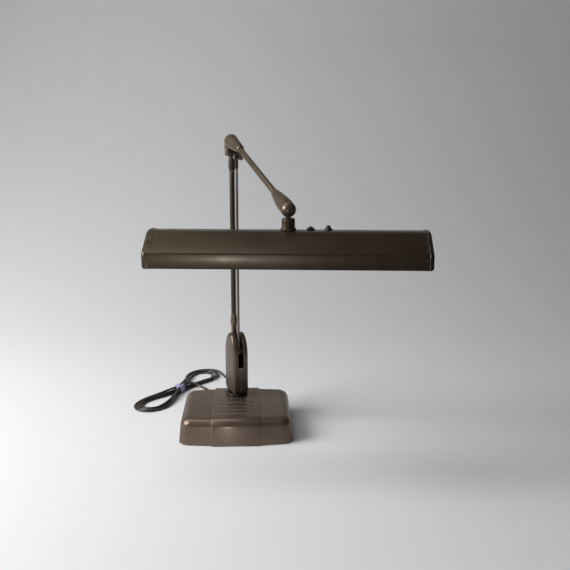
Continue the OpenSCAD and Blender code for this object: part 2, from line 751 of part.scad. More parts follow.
// A pulled spring from a low pin to a high pin, at one side of the arm plane
function spring_path(low, high, side) =
    let(n = spring_curls * 8, a = [low[0], side, low[1]], b = [high[0], side, high[1]],
        d = unit(b - a), run = norm(b - a) - 2 * spring_lead, e = unit(cross([0, 1, 0], d)),
        curls = [for (i = [0 : n])
            let(r = spring_radius * min(1, i / 5, (n - i) / 5))
                a + d * (spring_lead + run * i / n) + r * (cos(45 * i) * e + sin(45 * i) * [0, 1, 0])])
    concat([a + d * run_gap], curls, [b - d * run_gap]);
module arm_spring() color([0.5, 0.5, 0.52]) {
    arm_frame() tube(spring_path(anchor + [0, anchor_radius], foot_hook - [0, hook_pin], -spring_side),
                     spring_wire, 6);
}
module rocker_spring() color([0.5, 0.5, 0.52]) {
    arm_frame() tube(spring_path(anchor + [0, anchor_radius], tail_hook - [0, hook_pin], spring_side),
                     spring_wire, 6);
}

// Lower arm: foot casting, tube and head
module arm_foot() color([0.26, 0.21, 0.17]) {
    arm_frame() difference() {
        union() {
            across(-eye_half, eye_half) {
                translate(pivot1) circle(r = foot_eye);
                translate(foot_hook) circle(r = crank_radius);
                translate(foot_hook + [-crank_radius, 0]) square([crank_radius * 2, crank_arm]);
                translate(pivot1 + [-foot_neck / 2, 0]) square([foot_neck, bulge_start + 2]);
            }
            at_pivot(pivot1) rotate_extrude() polygon(bulge_profile);
            at_pivot(pivot1) translate([0, 0, bulge_end - eps])
                cylinder(r = tube_bore - press_gap, h = spigot);
        }
        cross_pin(pivot1, main_pin + pin_gap, -cut_reach, cut_reach);
        cross_pin(foot_hook, hook_pin + press_gap, -cut_reach, cut_reach);
    }
}
module foot_hook_pin() color([0.6, 0.6, 0.6]) {
    arm_frame() cross_pin(foot_hook, hook_pin, -spring_side - hook_over, eye_half);
}
module main_tube() color([0.26, 0.21, 0.17]) {
    arm_frame() at_pivot(pivot1) difference() {
        translate([0, 0, bulge_end])
            cylinder(d = main_tube_diameter, h = lower_arm_length - bulge_end - head_reach);
        cylinder(r = tube_bore, h = lower_arm_length);
    }
}
module arm_head() color([0.22, 0.18, 0.15]) {
    arm_frame() difference() {
        union() {
            across(-head_half, head_half) translate(pivot2) circle(r = foot_eye);
            across(-eye_half, eye_half)
                translate(pivot2 - [foot_neck / 2, head_neck]) square([foot_neck, head_neck]);
            at_pivot(pivot2) translate([0, 0, -head_reach])
                cylinder(d1 = main_tube_diameter + 0.8, d2 = head_sleeve, h = head_ring);
            at_pivot(pivot2) translate([0, 0, -head_reach + head_ring - eps])
                cylinder(d = head_sleeve, h = head_reach - head_ring - head_top);
            at_pivot(pivot2) translate([0, 0, -head_top - eps])
                cylinder(d1 = head_sleeve, d2 = foot_neck, h = head_top - foot_eye + 3);
            at_pivot(pivot2) translate([0, 0, -head_reach - spigot])
                cylinder(r = tube_bore - press_gap, h = spigot + eps);
        }
        cross_pin(pivot2, elbow_pin_radius + pin_gap, -cut_reach, cut_reach);
    }
}
module elbow_pin() color([0.35, 0.30, 0.26]) {
    arm_frame() {
        cross_pin(pivot2, elbow_pin_radius, -cheek_out - run_gap - eps, cheek_out + run_gap + eps);
        cross_pin(pivot2, elbow_head, -cheek_out - run_gap - pin_head, -cheek_out - run_gap);
        cross_pin(pivot2, elbow_head, cheek_out + run_gap, cheek_out + run_gap + pin_head);
    }
}

// Rocker in the pod and the control rod
module rocker_plate() color([0.40, 0.40, 0.41]) {
    along = unit(lever);
    web = rocker_web * [-along[1], along[0]];
    arm_frame() difference() {
        across(rocker_in, rocker_out) {
            translate(pivot1) circle(r = rocker_boss);
            translate(pivot3) circle(r = rocker_boss - 1);
            polygon([pivot1 + web, pivot3 + web, pivot3 - web, pivot1 - web]);
            translate(tail_hook) circle(r = hook_pin + 2);
        }
        cross_pin(pivot1, main_pin + pin_gap, -cut_reach, cut_reach);
        cross_pin(pivot3, rod_pin_radius + pin_gap, -cut_reach, cut_reach);
    }
    arm_frame() cross_pin(tail_hook, hook_pin, rocker_in + 1, spring_side + hook_over);
}
module rod_pin() color([0.6, 0.6, 0.6]) {
    arm_frame() {
        cross_pin(pivot3, rod_pin_radius, -rod_eye_half - run_gap - 1, rocker_out + run_gap + 1);
        cross_pin(pivot3, rod_head, -rod_eye_half - run_gap - pin_head, -rod_eye_half - run_gap);
        cross_pin(pivot3, rod_head, rocker_out + run_gap, rocker_out + run_gap + pin_head);
    }
}
module control_rod() color([0.26, 0.21, 0.17]) {
    arm_frame() at_pivot(pivot3) translate([0, 0, rod_socket])
        cylinder(d = control_rod_diameter, h = lower_arm_length - 2 * rod_socket);
}
// An eye with a sleeve for the control rod's end
module rod_eye_end(p, up, clearance) {
    arm_frame() difference() {
        union() {
            across(-rod_eye_half, rod_eye_half) translate(p) circle(r = rod_eye);
            at_pivot(p) rotate([up < 0 ? 180 : 0, 0, 0])
                cylinder(r = control_rod_diameter / 2 + rod_sleeve, h = rod_socket + rod_grip);
        }
        at_pivot(p) rotate([up < 0 ? 180 : 0, 0, 0]) translate([0, 0, rod_socket])
            cylinder(r = control_rod_diameter / 2 + press_gap, h = cut_reach);
        cross_pin(p, clearance, -cut_reach, cut_reach);
    }
}
module rod_lower_eye() color([0.24, 0.20, 0.16]) {
    rod_eye_end(pivot3, 1, rod_pin_radius + pin_gap);
}
module rod_upper_eye() color([0.24, 0.20, 0.16]) {
    rod_eye_end(pivot4, -1, rod_pin_radius + run_gap);
}

// Elbow hood and upper arm
module elbow_hood() color([0.34, 0.28, 0.22]) {
    difference() {
        union() {
            difference() {
                upper_frame() hull() {
                    translate([hood_back, 0, hood_sink]) sphere(r = hood_radius, $fn = hull_fn);
                    translate([hood_front, 0, hood_sink]) sphere(r = hood_radius - 1, $fn = hull_fn);
                    x_bar(neck_radius, neck_start, neck_end - 3, $fn = hull_fn);
                    x_bar(neck_radius - 1, neck_start, neck_end, $fn = hull_fn);
                }
                arm_frame() cross_pin(pivot2, hood_arch, -cut_reach, cut_reach);
            }
            arm_frame() across(-cheek_out, -cheek_in) hull()
                for (c = ear_rounds) translate(c[0]) circle(r = c[1], $fn = hull_fn);
            arm_frame() across(cheek_in, cheek_out) hull()
                for (c = cheek_rounds) translate(c[0]) circle(r = c[1], $fn = hull_fn);
        }
        arm_frame() across(-cheek_in, cheek_in) polygon(hood_mouth);
        arm_frame() cross_pin(pivot2, elbow_pin_radius + pin_gap, -cut_reach, cut_reach);
        arm_frame() cross_pin(pivot4, rod_pin_radius + press_gap, 0, cut_reach);
        upper_frame() x_bar(upper_radius + press_gap, neck_start, neck_end + 1);
        upper_frame() translate([neck_end - neck_screw_in, 0, 0])
            cylinder(r = neck_screw_radius + 2 * press_gap, h = cut_reach);
    }
}
module neck_screw() color([0.10, 0.09, 0.09]) {
    rise = neck_radius - upper_radius;
    upper_frame() translate([neck_end - neck_screw_in, 0, upper_radius + 2 * press_gap]) {
        cylinder(r = neck_screw_radius, h = rise + 1);
        translate([0, 0, rise + 0.6]) cylinder(r = neck_screw_radius + 1.1, h = 2);
    }
}
module front_pin() color([0.5, 0.48, 0.45]) {
    arm_frame() {
        cross_pin(pivot4, rod_pin_radius, -rod_eye_half - run_gap - 1, cheek_out);
        cross_pin(pivot4, rod_head, -rod_eye_half - run_gap - pin_head, -rod_eye_half - run_gap);
    }
}
module upper_tube() color([0.30, 0.25, 0.20]) {
    upper_frame() difference() {
        x_bar(upper_radius, neck_start + press_gap, upper_arm_length - tear_length + tear_socket);
        x_bar(upper_radius - 1.5, neck_start - 1, upper_arm_length);
    }
}
// Half of the teardrop socket that holds the ball
function tear_radius(t) = tear_lip + (ball_housing - tear_lip) * sin(90 * t);
module tear_solid() {
    translate([upper_arm_length, 0, 0]) rotate([0, 90, 0]) rotate_extrude() polygon(concat(
        [[0, -tear_length]],
        [for (i = [0 : 14]) [tear_radius(i / 14), -tear_length * (1 - i / 14)]],
        [for (a = [9 : 9 : 81]) [ball_housing * cos(a), ball_housing * sin(a)]],
        [[0, ball_housing]]));
}
module tear_half(side) {
    v0 = side < 0 ? -slot_reach : 0;
    sweep_from = -90 + tilt_low - slot_margin;
    sweep_to = -90 + tilt_high + slot_margin;
    difference() {
        upper_frame() intersection() {
            tear_solid();
            translate([0, v0, -slot_reach]) cube([upper_arm_length * 2, slot_reach, 2 * slot_reach]);
        }
        upper_frame() x_bar(upper_radius + press_gap, 0, upper_arm_length - tear_length + tear_socket + 1);
        arm_frame() at_pivot(ball) sphere(r = ball_radius + pin_gap);
        arm_frame() cross_pin(ball, trunnion_radius + pin_gap, -trunnion_hole, trunnion_hole);
        arm_frame() at_pivot(ball) across(-stem_slot / 2, stem_slot / 2) polygon(concat([[0, 0]],
            [for (i = [0 : slot_steps])
                let(a = sweep_from + (sweep_to - sweep_from) * i / slot_steps)
                    slot_reach * [cos(a), sin(a)]]));
        upper_frame() translate([clamp_x, -clamp_reach - press_gap, 0]) rotate([-90, 0, 0])
            cylinder(r = clamp_radius + press_gap, h = slot_reach);
        upper_frame() translate([clamp_x, clamp_seat, 0]) rotate([-90, 0, 0])
            cylinder(r = clamp_head + press_gap, h = cut_reach);
        upper_frame() translate([upper_arm_length - notch_back, -cut_reach, ball_housing - notch_depth])
            cube([notch_width, 2 * cut_reach, ball_housing]);
    }
}
module socket_left_half() color([0.34, 0.28, 0.22]) {
    tear_half(-1);
}
module socket_right_half() color([0.32, 0.26, 0.21]) {
    tear_half(1);
}
module socket_screw() color([0.5, 0.48, 0.45]) {
    upper_frame() translate([clamp_x, 0, 0]) rotate([-90, 0, 0]) {
        translate([0, 0, -clamp_reach]) cylinder(r = clamp_radius, h = clamp_reach + clamp_seat + eps);
        translate([0, 0, clamp_seat]) cylinder(r = clamp_head, h = 2);
    }
}

// Ball and stem
module ball_stem() color([0.45, 0.40, 0.34]) {
    arm_frame() cross_pin(ball, trunnion_radius, -trunnion_reach, trunnion_reach);
    arm_frame() at_pivot(ball) {
        sphere(r = ball_radius);
        translate([0, 0, -ball_drop - tail_drop - run_gap - stem_nut_thick])
            cylinder(r = stem_radius, h = ball_drop + tail_drop + run_gap + stem_nut_thick);
    }
}
module stem_nut() color([0.6, 0.6, 0.6]) {
    arm_frame() at_pivot(ball) translate([0, 0, -ball_drop - tail_drop - run_gap - stem_nut_thick])
        difference() {
            cylinder(r = stem_nut_radius, h = stem_nut_thick, $fn = 6);
            translate([0, 0, -1]) cylinder(r = stem_radius + press_gap, h = stem_nut_thick + 2);
        }
}

// Shade
module shade_collar() color([0.30, 0.25, 0.20]) {
    shade_frame() translate([0, 0, shade_height]) difference() {
        union() {
            translate([0, 0, -tail_drop]) cylinder(r = tail_radius, h = tail_drop + eps);
            cylinder(r = flange_radius, h = flange_height);
            cylinder(r = collar_radius, h = collar_height - 2);
            translate([0, 0, collar_height - 2]) cylinder(r1 = collar_radius, r2 = collar_radius - 2, h = 2);
        }
        translate([0, 0, -tail_drop - 1])
            cylinder(r = stem_radius + pin_gap, h = collar_height + tail_drop + 2);
    }
}
module collar_nut() color([0.65, 0.58, 0.36]) {
    shade_frame() translate([0, 0, shade_height - sheet - collar_nut_thick]) difference() {
        cylinder(r = collar_nut_radius, h = collar_nut_thick, $fn = 6);
        translate([0, 0, -1]) cylinder(r = tail_radius + press_gap, h = collar_nut_thick + 2);
    }
}
// Shade section: half depths and heights, drawn in by an inset
slope = atan2(shade_height - skirt_height, (shade_depth - top_flat) / 2);
module section(inset, foot = 0) {
    y0 = shade_depth / 2 - inset;
    knee = skirt_height - inset * tan(slope / 2);
    y1 = top_flat / 2 - inset * tan(slope / 2);
    top = shade_height - inset;
    polygon([[-y0, foot], [y0, foot], [y0, knee], [y1, top], [-y1, top], [-y0, knee]]);
}
// Thickens a section along the shade
module lengthwise(x0, x1) {
    translate([x0, 0, 0]) rotate([90, 0, 90]) linear_extrude(x1 - x0) children();
}
module shade_shell() color([0.27, 0.23, 0.18]) {
    shade_frame() difference() {
        union() {
            lengthwise(-shell_half, shell_half) difference() {
                section(0);
                section(sheet, -1);
            }
            for (sy = [-1, 1])
                translate([-shell_half + cap_depth, sy * (shade_depth - hem) / 2 - hem / 2, 0])
                    cube([2 * (shell_half - cap_depth), hem, sheet]);
        }
        translate([0, 0, shade_height - 5]) cylinder(r = tail_radius + press_gap, h = 10);
        buttons() translate([0, 0, -5]) cylinder(r = switch_neck + press_gap, h = 10);
        cap_screw_holes();
    }
}
// A rounded block with the shade's section, grown outward and ended short of the shade's end
module cap_block(grow, short) {
    hull() {
        lengthwise(cap_from - short * 10, shade_length / 2 - cap_round) section(-grow);
        lengthwise(cap_from - short * 10, shade_length / 2 - cap_round * 0.3 - short * 0.7)
            section(cap_round * 0.3 - grow);
        lengthwise(cap_from - short * 10, shade_length / 2 - short) section(cap_round - grow);
    }
}
module cap_body(side) {
    m = side < 0 ? 1 : 0;
    shade_frame() mirror([m, 0, 0]) difference() {
        cap_block(cap_skin + press_gap, 0);
        translate([0, 0, -eps]) cap_block(press_gap, cap_skin);
    }
}
module left_end_cap() color([0.27, 0.23, 0.18]) {
    difference() {
        cap_body(-1);
        shade_frame() cap_screw_holes();
    }
}
module right_end_cap() color([0.27, 0.23, 0.18]) {
    difference() {
        cap_body(1);
        shade_frame() cap_screw_holes();
    }
}
// One screw in each slope of each end cap
module cap_screw_spots() {
    y = (shade_depth + top_flat) / 4;
    z = (shade_height + skirt_height) / 2;
    for (sx = [-1, 1], sy = [-1, 1])
        translate([sx * (shade_length / 2 - cap_depth / 2 - 1.6), sy * y, z]) rotate([-sy * slope, 0, 0])
            children();
}
module cap_screw_holes() {
    cap_screw_spots() cylinder(r = cap_screw_radius + press_gap, h = cut_reach, center = true);
}
module cap_screws() color([0.5, 0.48, 0.45]) {
    shade_frame() cap_screw_spots() {
        translate([0, 0, -cap_screw_in]) cylinder(r = cap_screw_radius, h = cap_screw_in + cap_skin + eps);
        translate([0, 0, cap_skin])
            cylinder(r1 = cap_screw_radius + 1.2, r2 = cap_screw_radius + 0.6, h = 1);
    }
}
module reflector() color([0.92, 0.92, 0.90]) {
    rim = (reflector_over + reflector_skin + sheet * tan(slope / 2)) / tan(slope) + reflector_clear;
    y0 = shade_depth / 2 - sheet - rim;
    y1 = reflector_flat / 2;
    z0 = skirt_height + reflector_over;
    t = reflector_skin;
    shade_frame() lengthwise(-reflector_half, reflector_half) polygon([
        [-y0, z0], [-y1, reflector_z], [y1, reflector_z], [y0, z0],
        [y0, z0 + t], [y1, reflector_z + t], [-y1, reflector_z + t], [-y0, z0 + t]]);
}
module lamp_spots() {
    for (sy = [-1, 1]) translate([0, sy * lamp_y, lamp_z]) children();
}
module lamp_pins(r, reach) {
    for (sx = [-1, 1], sz = [-1, 1]) translate([sx * lamp_length / 2, 0, sz * lamp_pin_apart / 2])
        x_bar(r, sx < 0 ? -reach : -eps, sx < 0 ? eps : reach);
}
module lamp_holders() color([0.90, 0.88, 0.82]) {
    shade_frame() difference() {
        for (sx = [-1, 1], sy = [-1, 1])
            translate([sx * (lamp_length / 2 + 0.5 + socket_thick / 2) - socket_thick / 2,
                       sy * lamp_y - socket_width / 2, socket_foot])
                cube([socket_thick, socket_width, reflector_z - socket_foot]);
        lamp_spots() lamp_pins(lamp_pin + press_gap, lamp_pin_length + 1);
    }
}
module lamp_tubes() color([0.95, 0.95, 0.93]) {
    shade_frame() lamp_spots() difference() {
        x_bar(lamp_diameter / 2 - 0.3, -lamp_length / 2 + lamp_cap, lamp_length / 2 - lamp_cap);
        x_bar(lamp_diameter / 2 - 0.3 - lamp_wall, -lamp_length, lamp_length);
    }
}
module lamp_end_caps() color([0.75, 0.75, 0.76]) {
    shade_frame() lamp_spots() {
        for (sx = [-1, 1]) translate([sx * (lamp_length - lamp_cap) / 2, 0, 0])
            x_bar(lamp_diameter / 2, -lamp_cap / 2, lamp_cap / 2);
        lamp_pins(lamp_pin, lamp_pin_length);
    }
}

// Buttons and their switches
switch_neck = stop_radius + 0.8;
module buttons() {
    for (x = [stop_offset, start_offset]) translate([x, button_back, shade_height]) children();
}
module button_bezels() color([0.14, 0.12, 0.11]) {
    stop = [stop_offset, stop_radius, stop_bezel];
    start = [start_offset, start_radius, start_bezel];
    shade_frame() for (b = [stop, start])
        translate([b[0], button_back, shade_height]) difference() {
            cylinder(r1 = stop_radius + bezel_skirt, r2 = b[1] + bezel_skirt, h = b[2]);
            translate([0, 0, -1]) cylinder(r = b[1] + run_gap, h = b[2] + 2);
        }
}
module switch_bodies() color([0.12, 0.12, 0.12]) {
    shade_frame() for (b = [[stop_offset, stop_radius], [start_offset, start_radius]])
        translate([b[0], button_back, shade_height]) difference() {
            union() {
                translate([0, 0, -sheet - switch_drop]) cylinder(r = switch_radius, h = switch_drop);
                translate([0, 0, -sheet - eps]) cylinder(r = switch_neck, h = sheet + eps);
            }
            translate([0, 0, -sheet - 1.5]) cylinder(r = b[1] + pin_gap, h = 10);
            translate([0, 0, -sheet - button_seat - button_foot - button_stroke])
                cylinder(r = b[1] + button_lip + run_gap, h = button_foot + button_stroke);
        }
}
module button(x, r, rise, round) {
    foot = -sheet - button_seat - button_foot + run_gap + 1;
    dome = r * r / round / 2 + round / 2;
    shade_frame() translate([x, button_back, shade_height]) {
        translate([0, 0, foot]) cylinder(r = r, h = rise - foot - round);
        translate([0, 0, foot]) cylinder(r = r + button_lip, h = 3);
        translate([0, 0, rise - round - eps]) intersection() {
            cylinder(r = r, h = round);
            translate([0, 0, round - dome]) sphere(r = dome);
        }
    }
}
module start_button() color([0.24, 0.09, 0.07]) {
    button(start_offset, start_radius, start_rise, start_round);
}
module stop_button() color([0.05, 0.05, 0.05]) {
    button(stop_offset, stop_radius, stop_rise, stop_round);
}

base_shell();
bottom_plate();
felt_pad();
base_weight();
ballast_choke();
choke_screws();
bottom_screws();
swivel_seat();
strain_relief();
cord_lead();
cord_hank();
cord_tail();
cord_tie();
plug_body();
plug_blades();
pod_left_shell();
pod_right_shell();
pod_screws();
swivel_spindle();
swivel_nut();
lower_pivot_pin();
spring_anchor();
arm_spring();
rocker_spring();
arm_foot();
foot_hook_pin();
main_tube();
arm_head();
elbow_pin();
rocker_plate();
rod_pin();
control_rod();
rod_lower_eye();
rod_upper_eye();
elbow_hood();
neck_screw();
front_pin();
upper_tube();
socket_left_half();
socket_right_half();
socket_screw();
ball_stem();
stem_nut();
shade_collar();
collar_nut();
shade_shell();
left_end_cap();
right_end_cap();
cap_screws();
reflector();
lamp_holders();
lamp_tubes();
lamp_end_caps();
button_bezels();
switch_bodies();
start_button();
stop_button();
union() {  // cord_hank
    echo(hank_least_gap = hank_least());
    echo(cord_length = route_length(cord_path));
}
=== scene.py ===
"""Task lamp: weighted base, swivelling pod, linked lower arm, upper arm and a trough shade."""

import json
import math

import bmesh
import bpy
from mathutils import Matrix, Vector

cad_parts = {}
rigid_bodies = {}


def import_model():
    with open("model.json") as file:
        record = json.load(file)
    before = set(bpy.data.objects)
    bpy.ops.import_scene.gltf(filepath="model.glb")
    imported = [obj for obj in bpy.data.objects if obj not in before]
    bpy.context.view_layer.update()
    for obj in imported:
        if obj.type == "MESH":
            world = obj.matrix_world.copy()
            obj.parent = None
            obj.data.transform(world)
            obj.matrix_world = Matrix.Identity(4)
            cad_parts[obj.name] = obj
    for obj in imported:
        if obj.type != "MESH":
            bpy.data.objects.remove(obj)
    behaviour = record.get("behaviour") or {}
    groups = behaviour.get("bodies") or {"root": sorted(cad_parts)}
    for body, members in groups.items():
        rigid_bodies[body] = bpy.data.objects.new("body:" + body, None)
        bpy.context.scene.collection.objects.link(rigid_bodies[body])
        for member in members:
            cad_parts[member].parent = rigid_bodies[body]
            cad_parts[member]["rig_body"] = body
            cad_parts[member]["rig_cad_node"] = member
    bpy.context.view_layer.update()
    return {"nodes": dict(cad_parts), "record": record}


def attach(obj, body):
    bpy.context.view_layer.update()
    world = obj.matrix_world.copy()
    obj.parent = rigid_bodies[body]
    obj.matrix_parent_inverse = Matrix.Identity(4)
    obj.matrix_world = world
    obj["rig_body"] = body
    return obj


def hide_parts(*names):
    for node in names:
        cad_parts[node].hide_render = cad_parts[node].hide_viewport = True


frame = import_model()
nodes = frame["nodes"]
MM = 0.001
TINY = 0.05 * MM
MERGE = 0.002 * MM

# Folds between faces, in degrees, and the share of a direction that counts as along it
SHARP = 60
FLAT = 1
MOSTLY = 0.9

# Base
BASE_HALF_WIDTH = 118 * MM
BASE_HALF_DEPTH = 111 * MM
BASE_FOOT = 1.5 * MM
BASE_TOP = 57 * MM
BAND_HALF = 49 * MM
BAND_RISE = 2.5 * MM
WING_SWEEP = 11 * MM
CORNER_RADIUS = 20 * MM
EDGE_RADIUS = 16.5 * MM
SIDE_DRAFT = 5 * MM
BASE_WALL = 4 * MM
BAND_CREASE = 1.1 * MM
RIB_RADIUS = 2.6 * MM
RIB_PROUD = 1.3 * MM
RIB_LENGTH = 78 * MM
RIB_FIRST = -5 * MM
RIB_PITCH = 22 * MM
RIB_COUNT = 4

# Pod, in the arm's plane
ARM_TURN = math.radians(-70)
SWIVEL_BACK = 53 * MM
POD_HALF_DEPTH = 31 * MM
POD_HALF_THICK = 17 * MM
POD_FOOT = 63.3 * MM
POD_TOP = 198.3 * MM
POD_CROWN = 50 * MM
POD_EDGE = 6 * MM
POD_FOOT_ROUND = 12 * MM
POD_WALL = 3 * MM
POD_STEPS = 18
SLOT_HALF = 6.5 * MM
SLOT_DEPTH = 74 * MM
SLOT_FOOT = POD_TOP - SLOT_DEPTH
SLOT_ROUND = 1.5 * MM
SLOT_REAR = -29 * MM

# Upper arm and its teardrop, in the upper arm's frame
ELBOW_AT = Vector((-15, 0, 590.3)) * MM
UPPER_DROOP = math.radians(20)
UPPER_OFFSET = 24.5 * MM
BALL_REACH = 328 * MM
DROP_LENGTH = 80 * MM
DROP_SHORTER = 0.87
DROP_FULLER = 0.14
DROP_STEPS = 24
DROP_LAP = 1.001
DROP_EDGE = 0.3 * MM
NOTCH_NEAR = 315.6 * MM
NOTCH_FAR = 319.5 * MM
NOTCH_FLOOR = 9.8 * MM
HOOD_GRAIN = 0.55 * MM
HOOD_ROUNDS = 8

# Shade, in its own frame
SHADE_AT = Vector((103.153, -230.410, 404.640)) * MM
SHADE_TURN = math.radians(-4.5)
SHADE_HALF = 254 * MM
SHADE_HALF_DEPTH = 70 * MM
SHADE_HEIGHT = 59.5 * MM
SKIRT_HEIGHT = 28 * MM
TOP_HALF = 16 * MM
SHEET = 1.2 * MM
SHELL_HALF = 249.7 * MM
KNEE_BEND = 2.5 * MM
TOP_BEND = 8 * MM
HEM = 5 * MM
HEM_BEND = 1.0 * MM
CAP_DEPTH = 12 * MM
CAP_SKIN = 1.2 * MM
CAP_GROW = 1.55 * MM
CAP_RIM = 4 * MM
CAP_STEP = 0.5 * MM
CAP_ROUND = 6.5 * MM
CAP_KNEE = 11 * MM
CAP_STEPS = 6

# Cord
CORD_DIAMETER = 5.0 * MM
CORD_RADIUS = CORD_DIAMETER / 2
CORD_LIES = CORD_RADIUS + 0.1 * MM
CORD_STEPS = 5

# Cord route from the strain relief through the hank to the plug, in millimetres,
# with heights counted over a cord that lies on the floor
LEAD_ROUTE = [
    (16, 132, 14.4), (17, 152.6, 11.7), (18.4, 172, 3.8), (19.2, 192.6, 0.8), (18.1, 213.4, 0.1),
    (13.8, 233.7, 0), (6.4, 253.2, 0), (-3.2, 271.7, 0), (-13.9, 289.8, 0), (-24.3, 308, 0),
    (-33.5, 326.8, 0), (-41.2, 346.2, 0), (-48.1, 365.7, 0), (-56.9, 383.7, 0),
]
HANK_ROUTE = [
    (-71.6, 395, 0), (-90.6, 396.5, 0), (-109.1, 389.9, 0), (-123.9, 376.6, 0),
    (-133.1, 358.5, 0), (-136.7, 338.2, 0), (-137.5, 317.3, 0), (-138, 296.4, 0),
    (-139.6, 275.7, 0), (-143.7, 255.5, 0), (-151.3, 236.4, 0), (-162.4, 219.2, 0),
    (-176.6, 204.1, 0), (-192.1, 190.2, 0), (-207.3, 175.8, 0), (-221.2, 160.7, 0),
    (-230.9, 143.4, 0), (-232.5, 124.5, 0), (-224.3, 108.3, 0), (-208, 100.7, 0),
    (-189.6, 103.9, 0), (-174.6, 116.2, 0), (-165.1, 133.9, 0), (-158.8, 153.7, 0),
    (-153.7, 174, 0), (-148.7, 194.3, 0), (-142.4, 214.2, 0), (-133.8, 233.1, 0),
    (-122.9, 250.7, 0), (-110, 267.1, 0), (-96.3, 283, 0), (-83, 299.1, 0), (-71.8, 316.5, 0),
    (-64.1, 335.2, 0), (-62.1, 354.6, 0), (-68.2, 372, 0), (-82.8, 382, 0), (-100.7, 380.5, 0),
    (-115.6, 368.9, 0), (-125.4, 351.7, 0), (-130.6, 332, 0), (-131.9, 311.2, 0),
    (-132.5, 290.3, 0), (-134.6, 269.5, 0), (-139.6, 249.2, 0), (-148.1, 230.2, 0),
    (-159.9, 213.1, 0), (-174.5, 198.1, 0), (-190.2, 184.2, 0), (-205.1, 169.9, 0),
    (-216.7, 153.6, 0), (-221.6, 135.2, 0), (-216.5, 119, 0), (-201.4, 113.2, 0),
    (-184.9, 120.1, 0), (-172.2, 134.9, 0), (-164.7, 153.7, 0), (-159.6, 173.8, 0),
    (-154.7, 194.2, 0), (-148.5, 214.2, 0), (-140.1, 233.4, 0), (-129.4, 251.4, 0),
    (-116.7, 268.1, 0), (-103.1, 284, 0), (-89.7, 299.9, 0), (-78.1, 316.8, 0),
    (-70.7, 335.2, 0), (-71.2, 354.1, 0), (-81.3, 368.2, 0), (-98, 370.5, 0),
    (-113.2, 360.6, 0.2), (-122.4, 343.6, 1.5), (-127.2, 323.9, 3.8), (-130.1, 303.3, 5.4),
    (-132.8, 282.5, 5.7), (-137.7, 262.2, 5.4), (-145, 242.7, 5), (-154.9, 224.4, 5),
    (-167.4, 207.8, 5.3), (-182.2, 193, 5.6), (-198.3, 179.7, 5.3), (-213.1, 165.4, 4.8),
    (-223.7, 148.6, 3.4), (-227.2, 130.1, 1.2), (-220.4, 113.7, 0.2), (-205.1, 106.4, 0.3),
    (-187.8, 111.4, 1.6), (-174, 124.7, 3.9), (-164.5, 142.4, 5.3), (-158.9, 162.2, 5.3),
    (-155.1, 182.7, 5.2), (-150.1, 202.9, 5.3), (-142.8, 222.4, 5.2), (-133.1, 240.8, 5.2),
    (-121.2, 257.9, 4.8), (-107.3, 273.6, 5.4), (-92.5, 288.4, 5.7), (-77.8, 303.4, 5.5),
    (-65.2, 319.7, 3.6), (-57.5, 338.4, 1.3), (-56.6, 358.2, 0.2), (-63.9, 376, 0),
    (-78.6, 387.4, 0), (-97, 388.5, 0), (-113.6, 379.4, 0.6), (-125.5, 363.8, 2.3),
    (-132, 344.7, 4.1), (-134.4, 324.2, 5), (-135.9, 303.4, 6), (-138, 282.7, 8.3),
    (-140.6, 262.1, 10.4), (-146, 242.3, 10.7), (-156.1, 224.5, 10.6), (-170.4, 209.7, 9.7),
    (-186.4, 196.6, 7.2), (-202.8, 183.8, 5.1), (-218.9, 170.7, 3.1), (-231.9, 155, 1.1),
    (-238.5, 136.3, 0.1), (-236.7, 117, 0), (-226.2, 101.4, 0), (-209.2, 93.9, 0),
    (-190.5, 96.5, 0), (-174.4, 107.7, 0), (-163, 124.3, 0.6), (-156.3, 143.8, 2.5),
    (-152.7, 164.2, 5.1), (-149.6, 184.8, 8.6), (-146.4, 205.3, 11.3), (-141.9, 225.5, 11.9),
    (-134.8, 244.2, 11.4),
]
TAIL_ROUTE = [
    (-122.3, 257.3, 11.5), (-106, 258.8, 7.4), (-90.5, 248.8, 3.1), (-77, 233.8, 1),
    (-66.8, 215.9, 0.9), (-59.8, 196.6, 2.3), (-59, 176, 5.5),
]

# Ribbon round the hank
TIE_AT = Vector((-145.2, 231.7, 0)) * MM
TIE_TURN = math.radians(-20)
TIE_HALF = 13 * MM
TIE_FOOT = 0.2 * MM
TIE_TOP = 18.6 * MM
TIE_HALF_LENGTH = 8 * MM
TIE_TAPER = 0.82
TIE_ROUND = 5 * MM
TIE_WINDS = 4
TIE_NIP = 0.95
TIE_LIP = 1.2 * MM
KNOT_HALF = 4 * MM
KNOT_SINK = 1 * MM
KNOT_RISE = 2.4 * MM
KNOT_ROUND = 1.6 * MM

# Places of the arm, the upper arm and the shade in the lamp
ARM_PLACE = Matrix.Translation((0, SWIVEL_BACK, 0)) @ Matrix.Rotation(ARM_TURN, 4, "Z")
UPPER_PLACE = (
    ARM_PLACE
    @ Matrix.Translation(ELBOW_AT)
    @ Matrix.Rotation(UPPER_DROOP, 4, "Y")
    @ Matrix.Translation((0, 0, UPPER_OFFSET))
)
SHADE_PLACE = Matrix.Translation(SHADE_AT) @ Matrix.Rotation(SHADE_TURN, 4, "Z")


# Camera at the photograph's place
CAMERA_AT = (0.04569, -1.70466, 0.677)
CAMERA_PITCH = 78.0
CAMERA_TURN = -2.0
CAMERA_LENS = 52.3
CAMERA_SENSOR = 36.0


def deselect():
    bpy.ops.object.select_all(action="DESELECT")


def choose(piece):
    """Make a piece the only selected and active one."""
    deselect()
    piece.select_set(True)
    bpy.context.view_layer.objects.active = piece


deselect()
bpy.ops.object.camera_add(
    location=CAMERA_AT, rotation=(math.radians(CAMERA_PITCH), 0, math.radians(CAMERA_TURN))
)
camera = bpy.context.object
camera.data.lens = CAMERA_LENS
camera.data.sensor_width = CAMERA_SENSOR
bpy.context.scene.camera = camera


